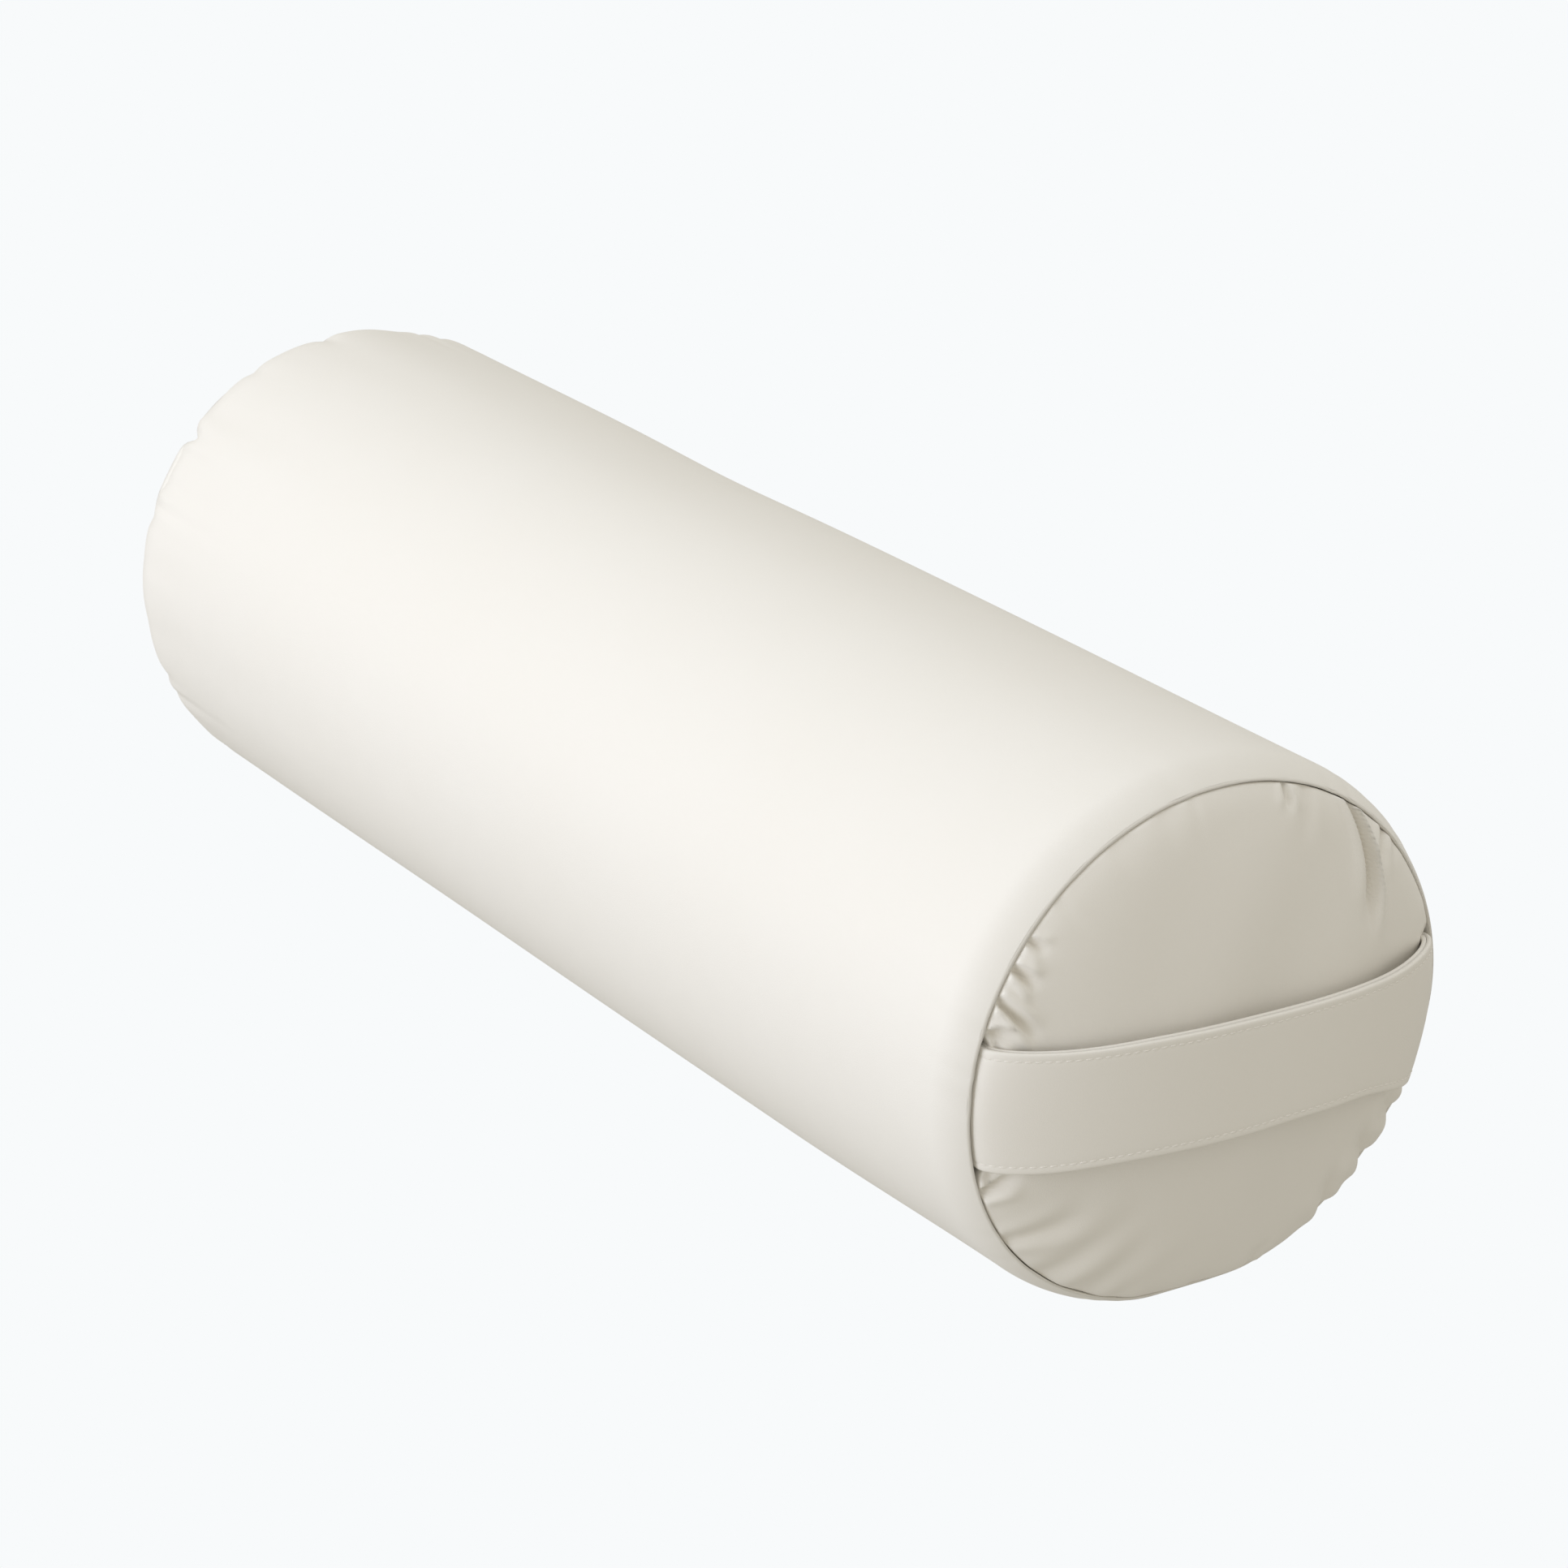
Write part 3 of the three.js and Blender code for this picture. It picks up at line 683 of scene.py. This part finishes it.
def strap_outline(depth, fold):
    """A strip's outline: its skin at this depth and its folded edges reaching to fold."""
    sign = 1 if fold > depth else -1
    outer = [(a, depth + sign * d * STRAP_GROOVE) for a, d in STRAP_EDGE]
    outer += [(a, depth - sign * 0.12 * MM * (1 - a * a)) for a in np.linspace(-0.75, 0.75, 9)]
    outer += [(-a, depth + sign * d * STRAP_GROOVE) for a, d in reversed(STRAP_EDGE)]
    wall = STRAP_SKIN
    inner = [(1.0, depth + sign * 0.45 * MM), (1.0, fold), (0.955, fold), (0.955, depth + sign * wall)]
    inner += [(a, depth + sign * wall) for a in np.linspace(0.9, -0.9, 9)]
    inner += [(-0.955, depth + sign * wall), (-0.955, fold), (-1.0, fold), (-1.0, depth + sign * 0.45 * MM)]
    return outer + inner


def strap_layer(name, outline, material, replaced):
    """A closed layer of the strap with this outline."""
    rings = strap_sheet(outline)
    rows, columns = rings.shape[:2]
    faces = grid_faces(rows, columns, ringed_rows=True)
    faces.append([i * columns for i in range(rows)])
    faces.append([i * columns + columns - 1 for i in reversed(range(rows))])
    obj = add_mesh(name, rings, faces, material)
    apply_modifier(obj, "TRIANGULATE")
    fix_normals(obj)
    return finish_piece(obj, replaces=[replaced])


def make_strip(name, depth, fold, replaced):
    """The strap's face or its backing, with its edges folded in."""
    return strap_layer(name, strap_outline(depth, fold), STRAP, replaced)


def make_webbing():
    """The ribbed webbing between the strap's face and its backing."""
    low = STRAP_SKIN + GAP
    high = STRAP_THICKNESS - STRAP_SKIN - GAP
    ribs = np.linspace(-0.84, 0.84, 43)
    top = [(a, low + 0.12 * MM * (i % 2)) for i, a in enumerate(ribs)]
    bottom = [(a, high - 0.12 * MM * (i % 2)) for i, a in enumerate(ribs)][::-1]
    return strap_layer("strap_webbing_tape", top + bottom, WEBBING, "strap_webbing")


# ---- End panels ----


def clock(angle_from_top):
    """The angle round the section, from +Y, of an angle on the end panel's clock face."""
    return math.pi / 2 - math.radians(angle_from_top)


def rim_radius(angle, notched):
    """An end panel's edge, which gives way to the strap's ends at the seam."""
    rim = np.full_like(angle, PANEL_RADIUS)
    if notched:
        end = np.sign(np.cos(angle))
        height = np.abs(PANEL_RADIUS * np.sin(angle) - strap_middle(end))
        half_width = strap_half_width(end)
        give = 1 - smooth_step(half_width - 1 * MM, half_width + 6 * MM, height)
        rim = rim - (STRAP_THICKNESS + 2 * GAP) * give
    return rim


def edge_puff(angle, share, notched):
    """How far a panel bulges past its seam: most on the strap end's lower +Y side."""
    side = bell(angle_gap(angle, -0.75), 1.25) if notched else 0.45
    strap = smooth_step(20 * MM, 34 * MM, np.abs(PANEL_RADIUS * np.sin(angle))) if notched else 1
    shape = np.sin(np.pi * np.clip((1 - share) / 0.42, 0, 1) ** 0.42)
    return (1.0 * MM + 4.2 * MM * side) * (0.35 + 0.65 * strap) * shape


def dome_grid(seam, top, notched, crown=1.0):
    """A crowned panel's points from its edge to its middle, their angles and shares, and its faces.

    The rings have fewer points towards the middle, so that all the cloth is about as fine.
    """
    rings = [(share, 240) for share in np.linspace(1, 0.5, 19)]
    rings += [(share, 120) for share in np.linspace(0.475, 0.25, 9)]
    rings += [(share, 60) for share in np.linspace(0.22, 0.12, 4)]
    rings += [(share, 30) for share in (0.085, 0.05)]
    angle = [np.linspace(-np.pi, np.pi, count, endpoint=False) for share, count in rings]
    share = np.concatenate([np.full(count, value) for value, count in rings] + [[0.0]])
    angle = np.concatenate(angle + [[0.0]])
    height = (1 - share**CROWN_ACROSS) ** (1 / CROWN_ALONG)
    radius = share * rim_radius(angle, notched) + edge_puff(angle, share, notched)
    points = section(seam + (top - seam) * crown * height, radius, angle)
    faces = []
    start = 0
    for (_, count), (_, following) in zip(rings, rings[1:]):
        inner = start + count
        step = count // following
        for j in range(following):
            outer = [start + (j * step + k) % count for k in range(step + 1)]
            faces.append([*outer, inner + (j + 1) % following, inner + j])
        start = inner
    last = rings[-1][1]
    faces += [[start + j, start + (j + 1) % last, start + last] for j in range(last)]
    if top < seam:
        faces = [face[::-1] for face in faces]
    return points, angle, share, faces


# angle on the clock face in degrees, from radius, to radius (shares), bend, width, depth
NEAR_FOLDS = [
    (-54, 1.0, 0.93, 0.0, 1.7 * MM, 2.6 * MM),
    (-60, 1.0, 0.90, -0.03, 1.8 * MM, 4.2 * MM),
    (-67, 1.0, 0.82, -0.10, 1.9 * MM, 4.4 * MM),
    (-74, 1.0, 0.92, 0.0, 1.9 * MM, 3.2 * MM),
    (14, 1.0, 0.91, 0.02, 1.5 * MM, 2.2 * MM),
    (19, 1.0, 0.80, 0.05, 3.0 * MM, 0.8 * MM),
    (33, 1.0, 0.68, 0.44, 3.2 * MM, 6.0 * MM),
    (45, 1.0, 0.88, 0.06, 2.2 * MM, 2.4 * MM),
    (117, 1.0, 0.84, -0.05, 4.2 * MM, 2.2 * MM),
    (129, 1.0, 0.78, -0.10, 4.6 * MM, 2.4 * MM),
    (144, 1.0, 0.78, -0.12, 4.6 * MM, 2.0 * MM),
    (166, 1.0, 0.86, -0.05, 3.2 * MM, 1.0 * MM),
    (-110, 1.0, 0.86, 0.05, 2.4 * MM, 3.2 * MM),
    (-124, 1.0, 0.70, -0.10, 3.6 * MM, 1.7 * MM),
    (-138, 1.0, 0.50, -0.12, 5.5 * MM, 1.3 * MM),
    (-151, 1.0, 0.55, -0.05, 6.0 * MM, 1.1 * MM),
]
FAR_FOLDS = [
    (-150, 1.0, 0.86, 0.05, 2.4 * MM, 2.6 * MM),
    (-95, 1.0, 0.82, -0.08, 2.8 * MM, 3.0 * MM),
    (-38, 1.0, 0.86, 0.06, 2.4 * MM, 3.0 * MM),
    (12, 1.0, 0.88, 0.0, 2.2 * MM, 2.6 * MM),
    (66, 1.0, 0.82, -0.06, 2.8 * MM, 2.8 * MM),
    (118, 1.0, 0.86, 0.05, 2.4 * MM, 2.8 * MM),
]


def fold_depth(angle, share, folds):
    """How far each point sinks into the folds that start at the seam."""
    total = np.zeros(np.broadcast(angle, share).shape)
    for at, start, end, bend, width, depth in folds:
        way = np.clip((start - share) / (start - end), 0, 1)
        line = clock(at) - bend * way
        across = angle_gap(angle, line) * share * PANEL_RADIUS
        fade = 1 - smooth_step(0.45, 1.0, (start - share) / (start - end))
        size = width * (0.75 + 0.6 * way)
        ridges = bell(across - 2.1 * size, size * 1.2) + bell(across + 2.0 * size, size)
        total += fade * depth * bell(across, size)
        total -= fade * depth * 0.42 * ridges
    return total


def fold_slack(angle, share, folds):
    """Where the sewn-in folds leave spare cloth, as a share from 0 to 1."""
    total = np.zeros(np.broadcast(angle, share).shape)
    for at, start, end, *_ in folds:
        across = angle_gap(angle, clock(at)) * PANEL_RADIUS
        total += bell(across, 9 * MM) * smooth_step(end - 0.1, start, share)
    return np.clip(total, 0, 1)


def strap_underside(points):
    """x of the strap's underside over each point, far away where the strap isn't."""
    x, y = strap_line(STRAP_THICKNESS + 0.6 * MM, 200)
    under = np.interp(points[..., 1], y, x)
    height = np.abs(points[..., 2] - AXIS)
    return under + 0.05 * smooth_step(27 * MM, 40 * MM, height)


def relax(obj, free, rounds):
    """Evens out a mesh by moving each free point towards the middle of its neighbours."""
    points = get_points(obj)
    edges = np.array([edge.vertices[:] for edge in obj.data.edges])
    count = np.bincount(edges.ravel(), minlength=len(points))[:, None]
    for _ in range(rounds):
        total = np.zeros_like(points)
        np.add.at(total, edges[:, 0], points[edges[:, 1]])
        np.add.at(total, edges[:, 1], points[edges[:, 0]])
        points = points + 0.5 * free[:, None] * (total / count - points)
    set_points(obj, points)


def make_end(name, seam, top, folds, seed, notched, replaced):
    """An end panel: swollen as cloth, then folded."""
    points, angle, share, faces = dome_grid(seam, top, notched, crown=0.94)
    # the end panels take the cover's darker, warmer copy, which is painted shade
    obj = add_mesh(name, points, faces, COVER_END_SHADED)
    edge = share > 0.999
    inflate(obj, edge, fold_slack(angle, share, folds), 0.05, 5.0, 7 * MM)
    relax(obj, 1.0 - edge, 6)
    apply_modifier(obj, "SUBSURF", levels=1)
    fold_and_tuck(obj, get_points(obj), seam, top, folds, seed, notched)
    apply_modifier(obj, "SOLIDIFY", thickness=COVER_THICKNESS, offset=-1)
    finish_piece(obj, replaces=[replaced])
    return obj


def fold_and_tuck(obj, points, seam, top, folds, seed, notched):
    """Presses the sewn folds into a swollen panel and turns its edge in along the seam."""
    sign = 1 if top > seam else -1
    y = points[:, 1] * BODY_RADIUS / HALF_WIDTH
    z = (points[:, 2] - AXIS) * BODY_RADIUS / HALF_HEIGHT
    angle = np.arctan2(z, y)
    share = np.hypot(y, z) / rim_radius(angle, notched)
    sink = fold_depth(angle, share, folds)
    sink -= pleats(angle, seed, 40, math.radians(1.5)) * smooth_step(0.86, 1.0, share) * 0.5 * MM
    dents = np.sin(84 * y + 1.3) * np.sin(71 * z + 0.4) + 0.6 * np.sin(118 * y - 52 * z + seed)
    sink += 0.45 * MM * dents * smooth_step(1.0, 0.8, share)
    lift = sign * (points[:, 0] - seam)
    sink = np.minimum(sink, np.maximum(lift + 1.5 * MM, 0))
    points[:, 0] -= sign * sink
    if notched:
        points[:, 0] = np.minimum(points[:, 0], strap_underside(points))
    set_points(obj, slump(points))
    bm = bmesh.new()
    bm.from_mesh(obj.data)
    for depth, widen in ((1.0 * MM, 1.0025), (TURN_IN - 1.0 * MM, 0.9975)):
        rim = [e for e in bm.edges if e.is_boundary]
        new = bmesh.ops.extrude_edge_only(bm, edges=rim)["geom"]
        for vert in new:
            if isinstance(vert, bmesh.types.BMVert):
                vert.co.x -= sign * depth
                vert.co.y *= widen
                vert.co.z = AXIS + (vert.co.z - AXIS) * widen
    bmesh.ops.recalc_face_normals(bm, faces=bm.faces)
    bm.to_mesh(obj.data)
    bm.free()
    obj.data.polygons.foreach_set("use_smooth", [True] * len(obj.data.polygons))


# ---- Zip and stitching ----

METAL_PIECES = {
    "zip_top_stop_upper": "bolster",
    "zip_top_stop_lower": "bolster",
    "zip_bottom_stop": "bolster",
    "zip_slider": "slider",
    "zip_pull_tab": "pull_tab",
}


def zip_point(x, outward, up):
    """Points from the zip's own directions: along X, out of the cover and up the skin."""
    y = ZIP_ORIGIN.y + outward * math.cos(ZIP_TILT) - up * math.sin(ZIP_TILT)
    z = ZIP_ORIGIN.z + outward * math.sin(ZIP_TILT) + up * math.cos(ZIP_TILT)
    return np.stack(np.broadcast_arrays(x, y, z), -1)


def repeat_mesh(name, shapes, faces, material):
    """One mesh of many equal shapes: shapes is (count, points, 3) and faces are those of one."""
    count, size = shapes.shape[:2]
    every = [[index + size * i for index in face] for i in range(count) for face in faces]
    return add_mesh(name, shapes, every, material)


def capped_rings(rings, sides):
    """Faces of a tube of this many rings, closed at both ends."""
    faces = grid_faces(rings, sides, ring=True)
    return faces + [list(range(sides))[::-1], [(rings - 1) * sides + j for j in range(sides)]]


def make_teeth(name, node, sign):
    """A row of coil teeth: each is a flattened bar across the row with a wider head."""
    low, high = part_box(node)
    count = int((high.x - low.x) / TOOTH_PITCH)
    middles = low.x + TOOTH_PITCH * (np.arange(count) + 0.5)
    turn = np.linspace(0, 2 * np.pi, 8, endpoint=False)
    rings = []
    for up, half_length, half_height in TOOTH_PROFILE:
        along = half_length * MM * np.sign(np.cos(turn)) * np.abs(np.cos(turn)) ** 0.6
        out = -1.2 * MM + half_height * MM * np.sign(np.sin(turn)) * np.abs(np.sin(turn)) ** 0.6
        rings.append((along, out, np.full(8, sign * up * MM)))
    along, out, up = (np.concatenate([ring[k] for ring in rings]) for k in range(3))
    shapes = np.stack([zip_point(middle + along, out, up) for middle in middles])
    obj = repeat_mesh(name, shapes, capped_rings(len(TOOTH_PROFILE), 8), NYLON)
    fix_normals(obj)
    finish_piece(obj, replaces=[node])


def make_rounded(name, node, body):
    """A metal piece with the CAD node's shape and softened edges."""
    obj = bpy.data.objects.new(name, nodes[node].data.copy())
    bpy.context.scene.collection.objects.link(obj)
    obj.data.materials.clear()
    obj.data.materials.append(METAL)
    apply_modifier(obj, "WELD", merge_threshold=0.001 * MM)
    bevel = obj.modifiers.new("bevel", "BEVEL")
    bevel.width = 0.14 * MM
    bevel.segments = 2
    bevel.limit_method = "ANGLE"
    bevel.angle_limit = math.radians(35)
    bpy.context.view_layer.objects.active = obj
    bpy.ops.object.modifier_apply(modifier=bevel.name)
    obj.data.polygons.foreach_set("use_smooth", [False] * len(obj.data.polygons))
    finish_piece(obj, body, replaces=[node])


def sew(name, lines, material):
    """Short rounded stitches along lines of points, each line with its outward directions."""
    turn = np.linspace(0, 2 * np.pi, 6, endpoint=False)
    shapes = []
    for points, outward in lines:
        steps = np.linalg.norm(np.diff(points, axis=0), axis=1)
        way = np.concatenate([[0], np.cumsum(steps)])
        places = np.arange(0.6 * STITCH_PITCH, way[-1] - 0.6 * STITCH_PITCH, STITCH_PITCH)
        for place in places:
            ends = [np.array([np.interp(place + d, way, points[:, k]) for k in range(3)])
                    for d in (-STITCH_LENGTH / 2, STITCH_LENGTH / 2)]
            out = np.array([np.interp(place, way, outward[:, k]) for k in range(3)])
            out /= np.linalg.norm(out)
            along = ends[1] - ends[0]
            side = np.cross(out, along / np.linalg.norm(along))
            rings = []
            circle = np.cos(turn)[:, None] * side + np.sin(turn)[:, None] * out
            for share, size, height in STITCH_PROFILE:
                centre = ends[0] + share * along + out * height * THREAD_RADIUS
                rings.append(centre + THREAD_RADIUS * size * circle)
            shapes.append(np.concatenate(rings))
    obj = repeat_mesh(name, np.array(shapes), capped_rings(len(STITCH_PROFILE), 6), material)
    fix_normals(obj)
    finish_piece(obj)


def make_strap_stitches():
    """A row of stitches in the groove along each edge of the strap's face."""
    lines = []
    for across in (-0.875, 0.875):
        outer, inner = strap_sheet([(across, 0.16 * MM), (across, 1.0 * MM)], 300)
        lines.append((outer[6:-6], (outer - inner)[6:-6]))
    sew("strap_stitches", lines, STRAP)


def make_zip_stitches():
    """A stitched rectangle round the zip's slot."""
    lines = []
    low_x, high_x = ZIP_SLOT_LOW - STITCH_INSET, ZIP_SLOT_HIGH + STITCH_INSET
    low_up, high_up = -ZIP_HALF_WIDTH - STITCH_INSET, ZIP_HALF_WIDTH + STITCH_INSET
    radius = BODY_RADIUS - 0.25 * MM
    for up in (low_up, high_up):
        angle = zip_angle(up)
        line = section(np.linspace(low_x, high_x, 240), radius, angle)
        outward = np.broadcast_to(np.array([0, math.cos(angle), math.sin(angle)]), line.shape)
        lines.append((line, outward))
    for x in (low_x, high_x):
        angles = np.linspace(zip_angle(low_up), zip_angle(high_up), 30)
        line = section(x, radius, angles)
        lines.append((line, np.stack([0 * angles, np.cos(angles), np.sin(angles)], -1)))
    sew("zip_stitches", lines, THREAD)


# ---- Filling ----


def layer_radius(node):
    """The radius of a layer of the filling on the bolster's section."""
    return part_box(node)[1].y * BODY_RADIUS / HALF_WIDTH


def lumps(x, angle, depth):
    """The uneven surface of cut foam or wadding, never outside its nominal shape."""
    wave = np.sin(5 * angle + 60 * x) + np.sin(13 * angle - 110 * x + 1.3)
    wave = wave + np.sin(29 * angle + 230 * x)
    return -depth * (3 + wave) / 6


def turned(name, profile, depth, material, replaced, closed=False):
    """A soft layer: a profile of (x, radius) turned round the axis, with an uneven surface."""
    columns = 144
    angle = np.linspace(-np.pi, np.pi, columns, endpoint=False)[None, :]
    x = np.array([p[0] for p in profile])[:, None]
    radius = np.array([p[1] for p in profile])[:, None]
    share = np.clip(radius / (6 * MM), 0, 1)
    points = slump(section(x, radius + share * lumps(x, angle, depth), angle))
    faces = grid_faces(len(profile), columns, ring=True, ringed_rows=closed)
    if not closed:
        faces.append(list(range(columns)))
        faces.append([(len(profile) - 1) * columns + j for j in range(columns)])
    obj = add_mesh(name, points, faces, material)
    fix_normals(obj)
    finish_piece(obj, replaces=[replaced])
    return obj


def rounded_end(x, inner, outer, edge, sign, steps=6):
    """A profile from an inner radius out over a rounded edge. sign is the end's direction along X."""
    turn = np.linspace(0, np.pi / 2, steps)
    flat = [(x, r) for r in np.linspace(inner, outer - edge, 6)[:-1]]
    return flat + [(x - sign * edge * (1 - math.cos(t)), outer - edge + edge * math.sin(t)) for t in turn]


def make_core():
    low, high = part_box("foam_core")
    radius = layer_radius("foam_core")
    ends = [rounded_end(x, 3 * MM, radius, 5 * MM, sign) for x, sign in ((low.x, -1), (high.x, 1))]
    middle = [(x, radius) for x in np.linspace(low.x + 12 * MM, high.x - 12 * MM, 60)]
    turned("filling_core", ends[0] + middle + ends[1][::-1], 0.8 * MM, FOAM, "foam_core")


def make_wrap():
    low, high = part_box("batting_wrap")
    outer = layer_radius("batting_wrap") - WADDING_SINK
    inner = layer_radius("foam_core") + GAP
    edge = 4 * MM
    outside = [(x, outer) for x in np.linspace(low.x + 8 * MM, high.x - 8 * MM, 60)]
    inside = [(x, inner) for x in np.linspace(high.x, low.x, 20)]
    ends = [rounded_end(x, inner + MM, outer, edge, sign) for x, sign in ((low.x, -1), (high.x, 1))]
    profile = ends[0] + outside + ends[1][::-1] + inside
    turned("filling_wrap", profile, 0.25 * MM, BATTING, "batting_wrap", closed=True)


def make_pad(name, node, sign):
    """A domed pad of wadding that fills a crowned end, a little lower than the cloth over it."""
    low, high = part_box(node)
    tip, back = (high.x, low.x) if sign > 0 else (low.x, high.x)
    seam = NEAR_SEAM if sign > 0 else FAR_SEAM
    radius = PANEL_RADIUS - 8 * MM
    share = np.sin(np.linspace(0.04, np.pi / 2, 24))
    rise = (tip - seam) * 0.7
    height = rise * (1 - share**CROWN_ACROSS) ** (1 / CROWN_ALONG)
    dome = list(zip(seam + height - sign * 2 * MM, share * radius))
    wall = [(x, radius) for x in np.linspace(seam - sign * 3 * MM, back, 5)]
    base = [(back, r) for r in np.linspace(radius - 6 * MM, 3 * MM, 10)]
    turned(name, dome + wall + base, 1.2 * MM, BATTING, node)


# ---- Camera, light and stage ----

VIEW_AZIMUTH = math.radians(56.386)
VIEW_ELEVATION = math.radians(20.811)
VIEW_ROLL = math.radians(2.054)
VIEW_DISTANCE = 1.7949
VIEW_LENS = 105.4
VIEW_SHIFT = (0.0390, -0.0122)


def make_camera():
    back = Vector((
        math.sin(VIEW_AZIMUTH) * math.cos(VIEW_ELEVATION),
        -math.cos(VIEW_AZIMUTH) * math.cos(VIEW_ELEVATION),
        math.sin(VIEW_ELEVATION),
    ))
    right = Vector((math.cos(VIEW_AZIMUTH), math.sin(VIEW_AZIMUTH), 0))
    up = back.cross(right)
    tilted_right = right * math.cos(VIEW_ROLL) + up * math.sin(VIEW_ROLL)
    tilted_up = -right * math.sin(VIEW_ROLL) + up * math.cos(VIEW_ROLL)
    camera = bpy.data.objects.new("camera", bpy.data.cameras.new("camera"))
    camera.data.lens = VIEW_LENS
    camera.data.sensor_width = 36
    camera.data.shift_x, camera.data.shift_y = VIEW_SHIFT
    place = Vector((0, 0, AXIS)) + back * VIEW_DISTANCE
    facing = Matrix((tilted_right, tilted_up, back)).transposed().to_4x4()
    camera.matrix_world = Matrix.Translation(place) @ facing
    bpy.context.scene.collection.objects.link(camera)
    bpy.context.scene.camera = camera


BACKGROUND = (0.939, 0.956, 0.965)
AMBIENT = (0.635, 0.61, 0.55)
FLOOR_GLOW = (0.45, 0.43, 0.375)


def white_to_camera(tree, kind, output, unseen):
    """Gives the camera the background's white, and every other ray another colour."""
    tree.nodes.clear()
    path = tree.nodes.new("ShaderNodeLightPath")
    mix = tree.nodes.new("ShaderNodeMixShader")
    tree.links.new(path.outputs["Is Camera Ray"], mix.inputs["Fac"])
    for socket, colour in ((1, unseen), (2, BACKGROUND)):
        glow = tree.nodes.new(kind)
        glow.inputs["Color"].default_value = (*colour, 1)
        tree.links.new(glow.outputs[0], mix.inputs[socket])
    surface = tree.nodes.new(output).inputs["Surface"]
    tree.links.new(mix.outputs["Shader"], surface)


def make_world():
    """White to the camera, and a dim warm fill for the object."""
    world = bpy.data.worlds.new("studio")
    world.use_nodes = True
    bpy.context.scene.world = world
    white_to_camera(world.node_tree, "ShaderNodeBackground", "ShaderNodeOutputWorld", AMBIENT)


def make_floor():
    """As white as the background to the camera, and a dim glow on the object's underside."""
    bpy.ops.mesh.primitive_plane_add(size=12, location=(0, 0, -0.2 * MM))
    floor = bpy.context.active_object
    floor.name = "studio_floor"
    material = bpy.data.materials.new("studio_white")
    material.use_nodes = True
    white_to_camera(material.node_tree, "ShaderNodeEmission", "ShaderNodeOutputMaterial", FLOOR_GLOW)
    floor.data.materials.append(material)


def add_light(name, place, target, size, power, colour):
    light = bpy.data.lights.new(name, "AREA")
    light.shape = "RECTANGLE"
    light.size, light.size_y = size
    light.energy = power
    light.color = colour
    obj = bpy.data.objects.new(name, light)
    obj.location = place
    obj.rotation_euler = (Vector(target) - Vector(place)).to_track_quat("-Z", "Y").to_euler()
    bpy.context.scene.collection.objects.link(obj)


def make_lights():
    middle = (0, 0, AXIS)
    add_light("key", (-0.3, -2.2, 0.5), middle, (2.6, 1.5), 26.5, (0.81, 0.86, 0.99))
    add_light("low", (-0.2, -1.5, 0.2), (0, 0, 0.04), (2.4, 0.35), 4.4, (0.95, 0.95, 1.0))
    add_light("top", (0.0, 0.2, 2.6), middle, (2.4, 1.8), 12.5, (0.84, 0.90, 1.0))


make_side()
make_core()
make_wrap()
make_pad("filling_pad_near", "batting_pad_near", 1)
make_pad("filling_pad_far", "batting_pad_far", -1)
make_strip("strap_outer", 0.0, STRAP_THICKNESS / 2 - 0.1 * MM, "strap_face")
make_strip("strap_inner", STRAP_THICKNESS, STRAP_THICKNESS / 2 + 0.1 * MM, "strap_backing")
make_webbing()
make_end("cover_end_near", NEAR_SEAM, NEAR_TOP + NEAR_SWELL, NEAR_FOLDS, 7, True, "end_panel_near")
make_end("cover_end_far", FAR_SEAM, FAR_TOP, FAR_FOLDS, 12, False, "end_panel_far")

for name in ("zip_tape_upper", "zip_tape_lower"):
    nodes[name].data.materials.clear()
    nodes[name].data.materials.append(TAPE)
make_teeth("zip_teeth_upper", "zip_coil_upper", 1)
make_teeth("zip_teeth_lower", "zip_coil_lower", -1)
for node, body in METAL_PIECES.items():
    make_rounded(node + "_rounded", node, body)
make_strap_stitches()
make_zip_stitches()

make_camera()
make_world()
make_floor()
make_lights()
bpy.context.scene.view_settings.view_transform = "Standard"
